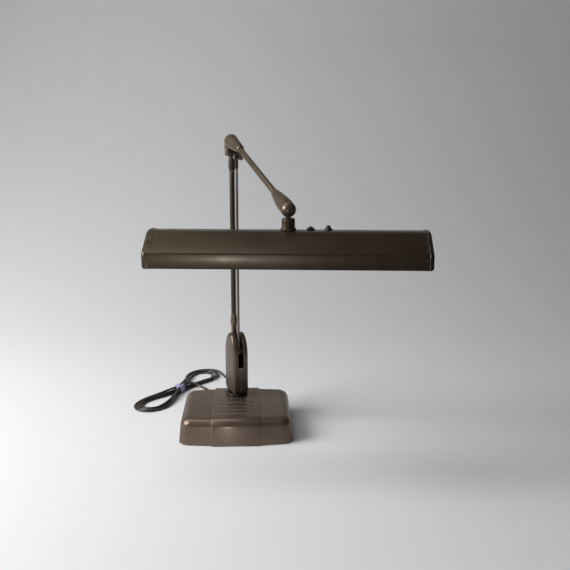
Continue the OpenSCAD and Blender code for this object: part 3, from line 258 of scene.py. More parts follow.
# Cord
def through(points, steps):
    """A smooth pass through given points."""
    out = []
    for i in range(len(points) - 1):
        a, b = points[max(i - 1, 0)], points[i]
        c, d = points[i + 1], points[min(i + 2, len(points) - 1)]
        for k in range(steps):
            t = k / steps
            out.append(
                0.5
                * (
                    2 * b
                    + (c - a) * t
                    + (2 * a - 5 * b + 4 * c - d) * t**2
                    + (3 * b - a - 3 * c + d) * t**3
                )
            )
    out.append(points[-1])
    return out


def cord_points():
    lift = Vector((0, 0, CORD_LIES))
    route = [Vector(p) * MM + lift for p in LEAD_ROUTE + HANK_ROUTE + TAIL_ROUTE]
    return through(route, CORD_STEPS)


def make_cord():
    line = bpy.data.curves.new("mains_cord", "CURVE")
    line.dimensions = "3D"
    line.bevel_depth = CORD_RADIUS
    line.bevel_resolution = 5
    line.use_fill_caps = True
    points = cord_points()
    spline = line.splines.new("POLY")
    spline.points.add(len(points) - 1)
    for spot, point in zip(points, spline.points):
        point.co = (*spot, 1.0)
    spline.use_smooth = True
    cord = bpy.data.objects.new("mains_cord", line)
    bpy.context.scene.collection.objects.link(cord)
    length = sum((b - a).length for a, b in zip(points, points[1:]))
    return cord, length


# Modelling by hand: boxes, cuts, picked edges and faces
def block(name, low, high):
    """A box between two corners, left open for editing."""
    low, high = Vector(low), Vector(high)
    deselect()
    bpy.ops.mesh.primitive_cube_add(size=1, location=(low + high) / 2, scale=high - low)
    piece = bpy.context.object
    piece.name = name
    piece.data.name = name
    bpy.ops.object.transform_apply(location=True, rotation=True, scale=True)
    bpy.ops.object.mode_set(mode="EDIT")
    return piece


def middle(part):
    """The middle of a vertex, edge or face."""
    if isinstance(part, bmesh.types.BMVert):
        return part.co
    return sum((v.co for v in part.verts), Vector()) / len(part.verts)


def way(edge):
    return (edge.verts[1].co - edge.verts[0].co).normalized()


def fold(edge):
    """How sharply two faces meet at an edge, in degrees."""
    return math.degrees(edge.calc_face_angle(0.0))


def pick(kind, test):
    """Select the vertices, edges or faces that pass a test."""
    mesh = bpy.context.object.data
    bpy.ops.mesh.select_mode(type=kind)
    bpy.ops.mesh.select_all(action="DESELECT")
    shape = bmesh.from_edit_mesh(mesh)
    shape.normal_update()
    for part in {"VERT": shape.verts, "EDGE": shape.edges, "FACE": shape.faces}[kind]:
        if test(part):
            part.select_set(True)
    shape.select_flush_mode()
    bmesh.update_edit_mesh(mesh)


def cut(at, across):
    bpy.ops.mesh.select_all(action="SELECT")
    bpy.ops.mesh.bisect(plane_co=at, plane_no=across)


def stretch(x, y, z, about=(0, 0, 0)):
    bpy.ops.transform.resize(value=(x, y, z), center_override=about)


def round_off(width, steps):
    bpy.ops.mesh.bevel(
        offset_type="OFFSET", offset=width, segments=steps, profile=0.5, affect="EDGES"
    )


def drop(test):
    pick("FACE", test)
    bpy.ops.mesh.delete(type="FACE")


def outward():
    bpy.ops.mesh.select_all(action="SELECT")
    bpy.ops.mesh.remove_doubles(threshold=MERGE)
    bpy.ops.mesh.normals_make_consistent(inside=False)


def close():
    bpy.ops.object.mode_set(mode="OBJECT")


def finish_with(piece, kind, **values):
    """Add a modifier to a piece and apply it."""
    choose(piece)
    step = piece.modifiers.new(kind.lower(), kind)
    for name, value in values.items():
        setattr(step, name, value)
    bpy.ops.object.modifier_apply(modifier=step.name)


def wall(piece, thickness):
    finish_with(piece, "SOLIDIFY", thickness=thickness, offset=-1.0, use_even_offset=True)


def soften(piece, angle):
    choose(piece)
    bpy.ops.object.shade_smooth_by_angle(angle=math.radians(angle))


def settle(piece, place):
    """Bring a piece to its place and leave its object at the origin."""
    choose(piece)
    piece.matrix_world = place
    bpy.context.view_layer.update()
    bpy.ops.object.transform_apply(location=True, rotation=True, scale=True)


def along_x(edge):
    return abs(way(edge).x) > 0.99


# Base housing with its raised band and ribs
def base_housing():
    half_depth = BASE_HALF_DEPTH - BAND_RISE
    top = BASE_TOP - BAND_RISE
    piece = block(
        "base_housing",
        (-BASE_HALF_WIDTH, -half_depth, BASE_FOOT),
        (BASE_HALF_WIDTH, half_depth, top),
    )
    for side in (-1, 1):
        cut((side * BAND_HALF, 0, 0), (1, 0, 0))
    pick("VERT", lambda v: abs(v.co.x) > BAND_HALF + TINY)
    stretch(1, (BASE_HALF_DEPTH - WING_SWEEP) / half_depth, 1)
    pick("VERT", lambda v: v.co.z > top - TINY)
    stretch(1, (half_depth - SIDE_DRAFT) / half_depth, 1)
    pick("VERT", lambda v: v.co.z > top - TINY and abs(v.co.x) > BAND_HALF + TINY)
    stretch((BASE_HALF_WIDTH - SIDE_DRAFT) / BASE_HALF_WIDTH, 1, 1)
    pick("EDGE", lambda e: abs(way(e).z) > MOSTLY and abs(middle(e).x) > BAND_HALF + TINY)
    round_off(CORNER_RADIUS, 10)
    pick("EDGE", lambda e: middle(e).z > top - TINY and fold(e) > 45)
    round_off(EDGE_RADIUS, 8)
    pick("FACE", lambda f: abs(middle(f).x) < BAND_HALF - TINY and f.normal.z > -0.5)
    bpy.ops.mesh.extrude_region_shrink_fatten(TRANSFORM_OT_shrink_fatten={"value": BAND_RISE})
    pick(
        "EDGE",
        lambda e: abs(abs(middle(e).x) - BAND_HALF) < TINY and fold(e) > SHARP and e.is_convex,
    )
    round_off(BAND_CREASE, 2)
    drop(lambda f: f.normal.z < -0.7)
    close()
    wall(piece, BASE_WALL)
    rib = band_rib()
    ribs = [rib] + [rib.copy() for i in range(1, RIB_COUNT)]
    for i, bar in enumerate(ribs[1:], 1):
        bar.data = rib.data.copy()
        bpy.context.scene.collection.objects.link(bar)
        settle(bar, Matrix.Translation((0, -i * RIB_PITCH, 0)))
    choose(piece)
    for bar in ribs:
        bar.select_set(True)
    bpy.ops.object.join()
    soften(piece, 30)
    return piece


def band_rib():
    """A half-sunk bar with rounded ends across the band."""
    deselect()
    bpy.ops.mesh.primitive_cylinder_add(
        vertices=28,
        radius=RIB_RADIUS,
        depth=RIB_LENGTH,
        location=(0, RIB_FIRST, BASE_TOP + RIB_PROUD - RIB_RADIUS),
        rotation=(0, math.pi / 2, 0),
    )
    rib = bpy.context.object
    bpy.ops.object.transform_apply(location=True, rotation=True, scale=True)
    bpy.ops.object.mode_set(mode="EDIT")
    pick("EDGE", lambda e: fold(e) > SHARP)
    round_off(RIB_RADIUS * 0.9, 5)
    close()
    return rib


# Pod halves
def pod_half(name, side):
    """One half of the pod: a block drawn up into its crown, rounded, hollowed and slotted."""
    shoulder = POD_TOP - POD_CROWN
    near, far = sorted((0, side * POD_HALF_THICK))
    piece = block(name, (-POD_HALF_DEPTH, near, POD_FOOT), (POD_HALF_DEPTH, far, shoulder))
    pick("FACE", lambda f: f.normal.z > MOSTLY)
    reach, level = 1.0, shoulder
    for i in range(1, POD_STEPS):
        turn = math.pi / 2 * i / POD_STEPS
        rise = shoulder + POD_CROWN * math.sin(turn) - level
        level += rise
        bpy.ops.mesh.extrude_region_move(TRANSFORM_OT_translate={"value": (0, 0, rise)})
        stretch(math.cos(turn) / reach, 1, 1)
        reach = math.cos(turn)
    pick("EDGE", lambda e: abs(way(e).y) > MOSTLY and middle(e).z < POD_FOOT + TINY)
    round_off(POD_FOOT_ROUND, 6)
    outer = side * POD_HALF_THICK
    pick("EDGE", lambda e: abs(middle(e).y - outer) < TINY and fold(e) < FLAT)
    bpy.ops.mesh.dissolve_edges()
    pick("EDGE", lambda e: abs(middle(e).y - outer) < TINY and fold(e) > SHARP)
    round_off(POD_EDGE, 6)
    drop(lambda f: abs(middle(f).y) < TINY and abs(f.normal.y) > MOSTLY)
    close()
    wall(piece, POD_WALL)
    slot_box = block(
        name + "_slot",
        (SLOT_REAR, -SLOT_HALF, SLOT_FOOT),
        (SLOT_REAR + 2 * POD_HALF_DEPTH + POD_WALL, SLOT_HALF, POD_TOP + POD_CROWN),
    )
    pick("EDGE", lambda e: abs(way(e).x) > MOSTLY and middle(e).z < SLOT_FOOT + TINY)
    round_off(SLOT_ROUND, 3)
    close()
    finish_with(piece, "BOOLEAN", object=slot_box, operation="DIFFERENCE", solver="EXACT")
    bpy.data.objects.remove(slot_box)
    soften(piece, 40)
    settle(piece, ARM_PLACE)
    return piece


# Shade trough and its end caps
def shade_trough():
    low = (-SHELL_HALF, -SHADE_HALF_DEPTH, 0)
    piece = block("shade_trough", low, (SHELL_HALF, SHADE_HALF_DEPTH, SHADE_HEIGHT))
    cut((0, 0, SKIRT_HEIGHT), (0, 0, 1))
    pick("VERT", lambda v: v.co.z > SHADE_HEIGHT - TINY)
    stretch(1, TOP_HALF / SHADE_HALF_DEPTH, 1)
    drop(lambda f: f.normal.z < -MOSTLY or abs(f.normal.x) > MOSTLY)
    pick("EDGE", lambda e: along_x(e) and abs(middle(e).z - SKIRT_HEIGHT) < TINY)
    round_off(KNEE_BEND, 6)
    pick("EDGE", lambda e: along_x(e) and middle(e).z > SHADE_HEIGHT - TINY)
    round_off(TOP_BEND, 5)
    pick("EDGE", lambda e: along_x(e) and middle(e).z < TINY)
    bpy.ops.mesh.extrude_edges_move(TRANSFORM_OT_translate={"value": (0, 0, 0)})
    stretch(1, 1 - HEM / SHADE_HALF_DEPTH, 1)
    pick("EDGE", lambda e: along_x(e) and middle(e).z < TINY and fold(e) > SHARP)
    round_off(HEM_BEND, 3)
    outward()
    close()
    wall(piece, SHEET)
    soften(piece, 30)
    settle(piece, SHADE_PLACE)
    return piece


def end_cap(name, side):
    """A pressed cap over one end of the trough, with a stepped rim and rounded outer edges."""
    inner = SHADE_HALF - CAP_DEPTH
    half = SHADE_HALF_DEPTH + CAP_GROW
    top = SHADE_HEIGHT + CAP_GROW
    lean = math.atan2(SHADE_HEIGHT - SKIRT_HEIGHT, SHADE_HALF_DEPTH - TOP_HALF)
    grow = CAP_GROW * math.tan(lean / 2)
    piece = block(name, (inner, -half, 0), (SHADE_HALF - CAP_ROUND, half, top))
    cut((0, 0, SKIRT_HEIGHT + grow), (0, 0, 1))
    pick("VERT", lambda v: v.co.z > top - TINY)
    stretch(1, (TOP_HALF + grow) / half, 1)
    pick("EDGE", lambda e: abs(way(e).y) > MOSTLY and fold(e) < FLAT)
    bpy.ops.mesh.dissolve_edges()
    pick("EDGE", lambda e: along_x(e) and abs(middle(e).z - SKIRT_HEIGHT - grow) < TINY)
    round_off(CAP_KNEE * math.tan((math.pi / 2 - lean) / 2), 8)
    pick("EDGE", lambda e: along_x(e) and middle(e).z > top - TINY)
    round_off(TOP_BEND, 5)
    pick("FACE", lambda f: f.normal.x > MOSTLY)
    for i in range(CAP_STEPS):
        near, far = (math.pi / 2 * k / CAP_STEPS for k in (i, i + 1))
        bpy.ops.mesh.inset(
            thickness=CAP_ROUND * (math.cos(near) - math.cos(far)),
            depth=CAP_ROUND * (math.sin(far) - math.sin(near)),
        )
    drop(lambda f: f.normal.x < -MOSTLY or f.normal.z < -0.95)
    cut((inner + CAP_RIM, 0, 0), (1, 0, 0))
    cut((inner + CAP_RIM + CAP_STEP, 0, 0), (1, 0, 0))
    pick("VERT", lambda v: v.co.x < inner + CAP_RIM + TINY)
    stretch(1, 1 - CAP_STEP / half, 1 - CAP_STEP / top)
    if side < 0:
        bpy.ops.mesh.select_all(action="SELECT")
        stretch(-1, 1, 1)
    outward()
    close()
    wall(piece, CAP_SKIN)
    soften(piece, 30)
    settle(piece, SHADE_PLACE)
    return piece


# Ribbon tie
def ribbon_tie():
    """A ribbon drawn tight round the hank in four turns, with a knot on top."""
    piece = block(
        "ribbon_tie",
        (-TIE_HALF, -TIE_HALF_LENGTH, TIE_FOOT),
        (TIE_HALF, TIE_HALF_LENGTH, TIE_TOP),
    )
    pick("VERT", lambda v: v.co.z > TIE_TOP - TINY)
    stretch(TIE_TAPER, 1, 1)
    pick("EDGE", lambda e: abs(way(e).y) > MOSTLY)
    round_off(TIE_ROUND, 6)
    for i in range(1, 2 * TIE_WINDS):
        cut((0, TIE_HALF_LENGTH * (i / TIE_WINDS - 1), 0), (0, 1, 0))
    for i in range(0, 2 * TIE_WINDS + 1, 2):
        ring = TIE_HALF_LENGTH * (i / TIE_WINDS - 1)
        pick("VERT", lambda v: abs(v.co.y - ring) < TINY)
        stretch(TIE_NIP, 1, TIE_NIP, about=(0, 0, TIE_TOP / 2))
    pick("EDGE", lambda e: abs(abs(middle(e).y) - TIE_HALF_LENGTH) < TINY and fold(e) > SHARP)
    round_off(TIE_LIP, 3)
    close()
    knot = block(
        "ribbon_knot",
        (-KNOT_HALF, -KNOT_HALF, TIE_TOP - KNOT_SINK),
        (KNOT_HALF, KNOT_HALF, TIE_TOP + KNOT_RISE),
    )
    pick("EDGE", lambda e: True)
    round_off(KNOT_ROUND, 5)
    close()
    choose(piece)
    knot.select_set(True)
    bpy.ops.object.join()
    soften(piece, 50)
    settle(piece, Matrix.Translation(TIE_AT) @ Matrix.Rotation(TIE_TURN, 4, "Z"))
    return piece


# Castings and turned parts that keep the solid's shape, with their edges eased
EASE_MERGE = 0.004 * MM
EASE_FLAT = math.radians(1.0)
EASE_SHARP = math.radians(40)


def eased_copy(name, node, edge):
    """A copy of a solid's mesh, merged, with its sharp edges rounded."""
    deselect()
    piece = nodes[node].copy()
    piece.data = nodes[node].data.copy()
    piece.name = name
    piece.data.name = name
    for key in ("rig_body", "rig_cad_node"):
        del piece[key]
    piece.parent = None
    bpy.context.scene.collection.objects.link(piece)
    choose(piece)
    bpy.ops.object.mode_set(mode="EDIT")
    bpy.ops.mesh.select_all(action="SELECT")
    bpy.ops.mesh.remove_doubles(threshold=EASE_MERGE)
    bpy.ops.mesh.dissolve_limited(angle_limit=EASE_FLAT)
    close()
    if edge:
        finish_with(
            piece,
            "BEVEL",
            width=edge,
            segments=3,
            limit_method="ANGLE",
            angle_limit=EASE_SHARP,
            use_clamp_overlap=True,
        )
    soften(piece, 30)
    return piece


def cast_copy(name, node, grain, rounds):
    """A copy of a cast solid's mesh with its edges run together as in a mould."""
    piece = eased_copy(name, node, 0)
    finish_with(piece, "REMESH", mode="VOXEL", voxel_size=grain)
    finish_with(piece, "SMOOTH", factor=0.5, iterations=rounds)
    choose(piece)
    bpy.ops.object.shade_smooth()
    return piece


def full_drop(name, node):
    """A socket half with its teardrop drawn shorter and fuller toward the tube."""
    piece = eased_copy(name, node, DROP_EDGE)
    settle(piece, UPPER_PLACE.inverted())
    bpy.ops.object.mode_set(mode="EDIT")
    pick("VERT", lambda v: v.co.x < BALL_REACH)
    stretch(DROP_SHORTER, 1, 1, about=(BALL_REACH, 0, 0))
    tail = DROP_LENGTH * DROP_SHORTER
    for i in range(DROP_STEPS):
        near, far = (BALL_REACH - tail * (k / DROP_STEPS) for k in (i, i + DROP_LAP))
        pick("VERT", lambda v: far <= v.co.x < near)
        swell = 1 + DROP_FULLER * (i + 0.5) / DROP_STEPS
        stretch(1, swell, swell)
    close()
    settle(piece, UPPER_PLACE)
    return piece


def paint_notch_shade(piece):
    """Painted shade: the faces in the notch across the top of the teardrop take the black
    lacquer finish.
    """
    choose(piece)
    piece.data.materials.append(FINISH["choke_case"])
    piece.active_material_index = 1
    inward = UPPER_PLACE.inverted()
    bpy.ops.object.mode_set(mode="EDIT")

    def in_notch(face):
        spot = inward @ face.calc_center_median()
        return NOTCH_NEAR < spot.x < NOTCH_FAR and spot.z > NOTCH_FLOOR

    pick("FACE", in_notch)
    bpy.ops.object.material_slot_assign()
    close()


# Finishes
CLOUD_SCALE = 26
CLOUD_BAND = (0.28, 0.74)
FLOW_SCALE = 900
SPECK_SCALE = 210
SPECK_EDGE = (0.10, 0.05)
SPECK_STRENGTH = 0.5
GLOSS_DRIFT = 0.10
WEAR_FOLD = (0.995, 0.90)
RUB_SCALE = 140
RUB_BAND = (0.40, 0.62)
BUMP_DEPTH = 0.2 * MM
COAT_HAZE = 0.18
BRONZE_RIM = (0.72, 0.65, 0.57)
WORN_BRONZE = (0.45, 0.35, 0.26)
WORN_DARK = (0.15, 0.115, 0.08)
# Painted light and shade: the shade's paint is scaled from paler to darker across this span of X
FALLOFF_SPAN = (-0.15, 0.36)
FALLOFF_RANGE = (1.3, 0.68)
RING_SCALE = 12
THREAD_WAVER = 1.2


def socket(group, name, kind, way_in, value=None):
    side = "INPUT" if way_in else "OUTPUT"
    made = group.interface.new_socket(name=name, in_out=side, socket_type=kind)
    if value is not None:
        made.default_value = value


def span(node, low, high, ends):
    """Set the two ends of a map range."""
    node.inputs[low].default_value, node.inputs[high].default_value = ends


def mottle_group():
    """Cloudy change of a paint's colour and gloss, with fine flow marks and specks."""
    group = bpy.data.node_groups.new("enamel_mottle", "ShaderNodeTree")
    socket(group, "Paint", "NodeSocketColor", True, (0.1, 0.08, 0.06, 1))
    socket(group, "Cloud", "NodeSocketColor", True, (0.12, 0.1, 0.08, 1))
    socket(group, "Speck", "NodeSocketColor", True, (0.2, 0.17, 0.14, 1))
    socket(group, "Gloss", "NodeSocketFloat", True, 0.35)
    socket(group, "Color", "NodeSocketColor", False)
    socket(group, "Roughness", "NodeSocketFloat", False)
    socket(group, "Height", "NodeSocketFloat", False)
    tree = group.nodes
    link = group.links.new
    come = tree.new("NodeGroupInput")
    leave = tree.new("NodeGroupOutput")
    place = tree.new("ShaderNodeTexCoord")
    clouds = tree.new("ShaderNodeTexNoise")
    clouds.inputs["Scale"].default_value = CLOUD_SCALE
    clouds.inputs["Detail"].default_value = 2
    link(place.outputs["Object"], clouds.inputs["Vector"])
    flow = tree.new("ShaderNodeTexNoise")
    flow.inputs["Scale"].default_value = FLOW_SCALE
    flow.inputs["Detail"].default_value = 2
    link(place.outputs["Object"], flow.inputs["Vector"])
    specks = tree.new("ShaderNodeTexVoronoi")
    specks.inputs["Scale"].default_value = SPECK_SCALE
    link(place.outputs["Object"], specks.inputs["Vector"])
    band = tree.new("ShaderNodeMapRange")
    span(band, "From Min", "From Max", CLOUD_BAND)
    link(clouds.outputs["Fac"], band.inputs["Value"])
    blend = tree.new("ShaderNodeMix")
    blend.data_type = "RGBA"
    link(band.outputs["Result"], blend.inputs["Factor"])
    link(come.outputs["Paint"], blend.inputs["A"])
    link(come.outputs["Cloud"], blend.inputs["B"])
    dot = tree.new("ShaderNodeMapRange")
    span(dot, "From Min", "From Max", SPECK_EDGE)
    dot.inputs["To Max"].default_value = SPECK_STRENGTH
    link(specks.outputs["Distance"], dot.inputs["Value"])
    dust = tree.new("ShaderNodeMix")
    dust.data_type = "RGBA"
    link(dot.outputs["Result"], dust.inputs["Factor"])
    link(blend.outputs["Result"], dust.inputs["A"])
    link(come.outputs["Speck"], dust.inputs["B"])
    link(dust.outputs["Result"], leave.inputs["Color"])
    haze = tree.new("ShaderNodeMath")
    haze.operation = "MULTIPLY_ADD"
    link(band.outputs["Result"], haze.inputs[0])
    haze.inputs[1].default_value = GLOSS_DRIFT
    link(come.outputs["Gloss"], haze.inputs[2])
    link(haze.outputs["Value"], leave.inputs["Roughness"])
    link(flow.outputs["Fac"], leave.inputs["Height"])
    return group


def wear_group():
    """A mask of the edges where paint has rubbed thin, broken up by a fine noise."""
    group = bpy.data.node_groups.new("edge_wear", "ShaderNodeTree")
    socket(group, "Reach", "NodeSocketFloat", True, 1.5 * MM)
    socket(group, "Mask", "NodeSocketFloat", False)
    tree = group.nodes
    link = group.links.new
    come = tree.new("NodeGroupInput")
    leave = tree.new("NodeGroupOutput")
    rounded = tree.new("ShaderNodeBevel")
    rounded.samples = 6
    link(come.outputs["Reach"], rounded.inputs["Radius"])
    flat = tree.new("ShaderNodeNewGeometry")
    agree = tree.new("ShaderNodeVectorMath")
    agree.operation = "DOT_PRODUCT"
    link(rounded.outputs["Normal"], agree.inputs[0])
    link(flat.outputs["Normal"], agree.inputs[1])
    edge = tree.new("ShaderNodeMapRange")
    span(edge, "From Min", "From Max", WEAR_FOLD)
    link(agree.outputs["Value"], edge.inputs["Value"])
    place = tree.new("ShaderNodeTexCoord")
    rub = tree.new("ShaderNodeTexNoise")
    rub.inputs["Scale"].default_value = RUB_SCALE
    rub.inputs["Detail"].default_value = 4
    link(place.outputs["Object"], rub.inputs["Vector"])
    patchy = tree.new("ShaderNodeMapRange")
    span(patchy, "From Min", "From Max", RUB_BAND)
    link(rub.outputs["Fac"], patchy.inputs["Value"])
    mask = tree.new("ShaderNodeMath")
    mask.operation = "MULTIPLY"
    link(edge.outputs["Result"], mask.inputs[0])
    link(patchy.outputs["Result"], mask.inputs[1])
    link(mask.outputs["Value"], leave.inputs["Mask"])
    return group


MOTTLE = mottle_group()
WEAR = wear_group()


def finish_base(name):
    """A new material with its shader ready."""
    material = bpy.data.materials.new(name)
    material.use_nodes = True
    tree = material.node_tree
    return material, tree, tree.nodes["Principled BSDF"]


def painted_falloff(tree, colour):
    """Painted light and shade: the paint is scaled paler toward the shade's left end, nearer the
    window, and darker toward its right end.
    """
    place = tree.nodes.new("ShaderNodeTexCoord")
    apart = tree.nodes.new("ShaderNodeSeparateXYZ")
    tree.links.new(place.outputs["Object"], apart.inputs["Vector"])
    along = tree.nodes.new("ShaderNodeMapRange")
    span(along, "From Min", "From Max", FALLOFF_SPAN)
    span(along, "To Min", "To Max", FALLOFF_RANGE)
    tree.links.new(apart.outputs["X"], along.inputs["Value"])
    thin = tree.nodes.new("ShaderNodeVectorMath")
    thin.operation = "SCALE"
    tree.links.new(colour, thin.inputs["Vector"])
    tree.links.new(along.outputs["Result"], thin.inputs["Scale"])
    return thin.outputs["Vector"]


def mottled(
    name,
    paint,
    cloud,
    speck,
    gloss,
    bump=0.03,
    metal=0.0,
    coat=0.0,
    worn=None,
    reach=2.0,
    light_falloff=False,
):
    """A finish built on the mottle group, with painted light and shade along its length and wear
    along its edges where that is asked.
    """
    material, tree, shader = finish_base(name)
    group = tree.nodes.new("ShaderNodeGroup")
    group.node_tree = MOTTLE
    group.inputs["Paint"].default_value = (*paint, 1)
    group.inputs["Cloud"].default_value = (*cloud, 1)
    group.inputs["Speck"].default_value = (*speck, 1)
    group.inputs["Gloss"].default_value = gloss
    lift = tree.nodes.new("ShaderNodeBump")
    lift.inputs["Strength"].default_value = bump
    lift.inputs["Distance"].default_value = BUMP_DEPTH
    colour = group.outputs["Color"]
    if light_falloff:
        colour = painted_falloff(tree, colour)
    if worn:
        rubbed = tree.nodes.new("ShaderNodeGroup")
        rubbed.node_tree = WEAR
        rubbed.inputs["Reach"].default_value = reach * MM
        bare = tree.nodes.new("ShaderNodeMix")
        bare.data_type = "RGBA"
        bare.inputs["B"].default_value = (*worn, 1)
        tree.links.new(rubbed.outputs["Mask"], bare.inputs["Factor"])
        tree.links.new(colour, bare.inputs["A"])
        colour = bare.outputs["Result"]
    tree.links.new(colour, shader.inputs["Base Color"])
    tree.links.new(group.outputs["Roughness"], shader.inputs["Roughness"])
    tree.links.new(group.outputs["Height"], lift.inputs["Height"])
    tree.links.new(lift.outputs["Normal"], shader.inputs["Normal"])
    shader.inputs["Metallic"].default_value = metal
    shader.inputs["Coat Weight"].default_value = coat
    shader.inputs["Coat Roughness"].default_value = COAT_HAZE
    if metal:
        shader.inputs["Specular Tint"].default_value = (*BRONZE_RIM, 1)
    return material


def shades(tone, lighter=1.18, speck=1.5):
    """A tone with its cloud and speck tones."""
    return tone, tuple(c * lighter for c in tone), tuple(c * speck for c in tone)


def brushed(name, tone, gloss, grain):
    """Turned or drawn metal with fine rings along Z."""
    material, tree, shader = finish_base(name)
    place = tree.nodes.new("ShaderNodeTexCoord")
    turn = tree.nodes.new("ShaderNodeMapping")
    turn.inputs["Scale"].default_value = (60, 60, grain)
    streak = tree.nodes.new("ShaderNodeTexNoise")
    streak.inputs["Scale"].default_value = RING_SCALE
    streak.inputs["Detail"].default_value = 3
    tree.links.new(place.outputs["Object"], turn.inputs["Vector"])
    tree.links.new(turn.outputs["Vector"], streak.inputs["Vector"])
    ramp = tree.nodes.new("ShaderNodeMapRange")
    span(ramp, "To Min", "To Max", (gloss - 0.08, gloss + 0.12))
    tree.links.new(streak.outputs["Fac"], ramp.inputs["Value"])
    tree.links.new(ramp.outputs["Result"], shader.inputs["Roughness"])
    colour = tree.nodes.new("ShaderNodeMix")
    colour.data_type = "RGBA"
    colour.inputs["A"].default_value = (*(c * 0.82 for c in tone), 1)
    colour.inputs["B"].default_value = (*tone, 1)
    tree.links.new(streak.outputs["Fac"], colour.inputs["Factor"])
    tree.links.new(colour.outputs["Result"], shader.inputs["Base Color"])
    shader.inputs["Metallic"].default_value = 1.0
    return material


def woven(name, tone, pitch):
    """Ribbon or felt: crossed threads with a soft sheen."""
    material, tree, shader = finish_base(name)
    place = tree.nodes.new("ShaderNodeTexCoord")
    warp = tree.nodes.new("ShaderNodeTexWave")
    warp.inputs["Scale"].default_value = pitch
    warp.inputs["Distortion"].default_value = THREAD_WAVER
    weft = tree.nodes.new("ShaderNodeTexWave")
    weft.bands_direction = "Z"
    weft.inputs["Scale"].default_value = pitch
    weft.inputs["Distortion"].default_value = THREAD_WAVER
    tree.links.new(place.outputs["Object"], warp.inputs["Vector"])
    tree.links.new(place.outputs["Object"], weft.inputs["Vector"])
    both = tree.nodes.new("ShaderNodeMath")
    both.operation = "MULTIPLY"
    tree.links.new(warp.outputs["Fac"], both.inputs[0])
    tree.links.new(weft.outputs["Fac"], both.inputs[1])
    colour = tree.nodes.new("ShaderNodeMix")
    colour.data_type = "RGBA"
    colour.inputs["A"].default_value = (*(c * 0.7 for c in tone), 1)
    colour.inputs["B"].default_value = (*tone, 1)
    tree.links.new(both.outputs["Value"], colour.inputs["Factor"])
    tree.links.new(colour.outputs["Result"], shader.inputs["Base Color"])
    lift = tree.nodes.new("ShaderNodeBump")
    lift.inputs["Strength"].default_value = 0.35
    lift.inputs["Distance"].default_value = BUMP_DEPTH
    tree.links.new(both.outputs["Value"], lift.inputs["Height"])
    tree.links.new(lift.outputs["Normal"], shader.inputs["Normal"])
    shader.inputs["Roughness"].default_value = 0.85
    shader.inputs["Sheen Weight"].default_value = 0.4
    return material


# Paint tones
BASE_TONE = (0.132, 0.096, 0.074)
POD_TONE = (0.106, 0.080, 0.065)
SHADE_TONE = (0.052, 0.037, 0.023)
ARM_TONE = (0.134, 0.100, 0.072)
# Darker enamel: partly the main tube's own tone, partly painted shade where it darkens the parts
# under the elbow hood
TUBE_AND_SHADE_TONE = (0.042, 0.031, 0.024)
ROD_TONE = (0.155, 0.130, 0.120)

FINISH = {
    "brown_paint": mottled(
        "base_enamel", *shades(BASE_TONE), 0.25, metal=0.6, coat=0.05, worn=WORN_BRONZE
    ),
    "pod_paint": mottled(
        "pod_enamel", *shades(POD_TONE), 0.26, metal=0.6, coat=0.1, worn=WORN_BRONZE
    ),
    # The shade's enamel carries painted light and shade along its length, paler at the left end
    "shade_paint": mottled(
        "shade_enamel",
        *shades(SHADE_TONE),
        0.27,
        metal=0.5,
        coat=0.15,
        worn=WORN_DARK,
        reach=0.7,
        light_falloff=True,
    ),
    # End caps: bronze edge wear, partly real wear and partly a painted highlight on the lit
    # rims, with the same painted light and shade along the length as the trough
    "cap_paint_and_highlight": mottled(
        "cap_enamel_and_highlight",
        *shades(SHADE_TONE),
        0.27,
        metal=0.5,
        coat=0.15,
        worn=WORN_BRONZE,
        reach=1.3,
        light_falloff=True,
    ),
    "arm_paint": mottled(
        "arm_enamel", *shades(ARM_TONE), 0.26, metal=0.6, coat=0.1, worn=WORN_BRONZE
    ),
    # Partly own tone, partly painted shade for the parts under the elbow hood
    "tube_paint_and_shade": mottled(
        "tube_enamel_and_shade", *shades(TUBE_AND_SHADE_TONE), 0.40, metal=0.4, coat=0.1, worn=WORN_BRONZE
    ),
    "rod_paint": mottled(
        "rod_enamel", *shades(ROD_TONE), 0.30, metal=0.6, coat=0.1, worn=WORN_BRONZE
    ),
    "dark_steel": brushed("darkened_steel", (0.10, 0.085, 0.07), 0.34, 900),
    "steel": brushed("turned_steel", (0.52, 0.51, 0.50), 0.32, 900),
    "spring_steel": brushed("drawn_wire", (0.36, 0.36, 0.38), 0.4, 300),
    "iron": mottled("cast_iron", *shades((0.06, 0.06, 0.06)), 0.6, bump=0.3),
    "choke_case": mottled("black_lacquer", *shades((0.018, 0.016, 0.015)), 0.32),
    "felt": woven("pressed_felt", (0.05, 0.06, 0.045), 500),
    "brass": brushed("plain_brass", (0.72, 0.52, 0.22), 0.3, 900),
    "white_enamel": mottled(
        "white_enamel", *shades((0.80, 0.80, 0.77), 1.02, 0.97), 0.28, coat=0.3
    ),
    "holder": mottled("cream_moulding", *shades((0.76, 0.72, 0.62), 1.03, 0.95), 0.35),
    "lamp_glass": mottled(
        "phosphor_glass", *shades((0.86, 0.87, 0.86), 1.02, 1.0), 0.12, bump=0.0, coat=0.6
    ),
    "lamp_metal": brushed("lamp_cap_metal", (0.68, 0.68, 0.69), 0.3, 900),
    "black_plastic": mottled("black_moulding", *shades((0.012, 0.012, 0.012), 1.2, 1.6), 0.3),
    "red_plastic": mottled("dark_red_moulding", *shades((0.050, 0.016, 0.012), 1.2, 1.6), 0.32),
    "cord_cover": mottled("cord_rubber", *shades((0.030, 0.021, 0.016), 1.3, 1.8), 0.30),
    "tie_cover": woven("lavender_ribbon", (0.52, 0.45, 0.78), 900),
}


def dress(piece, finish):
    piece.data.materials.clear()
    piece.data.materials.append(FINISH[finish])


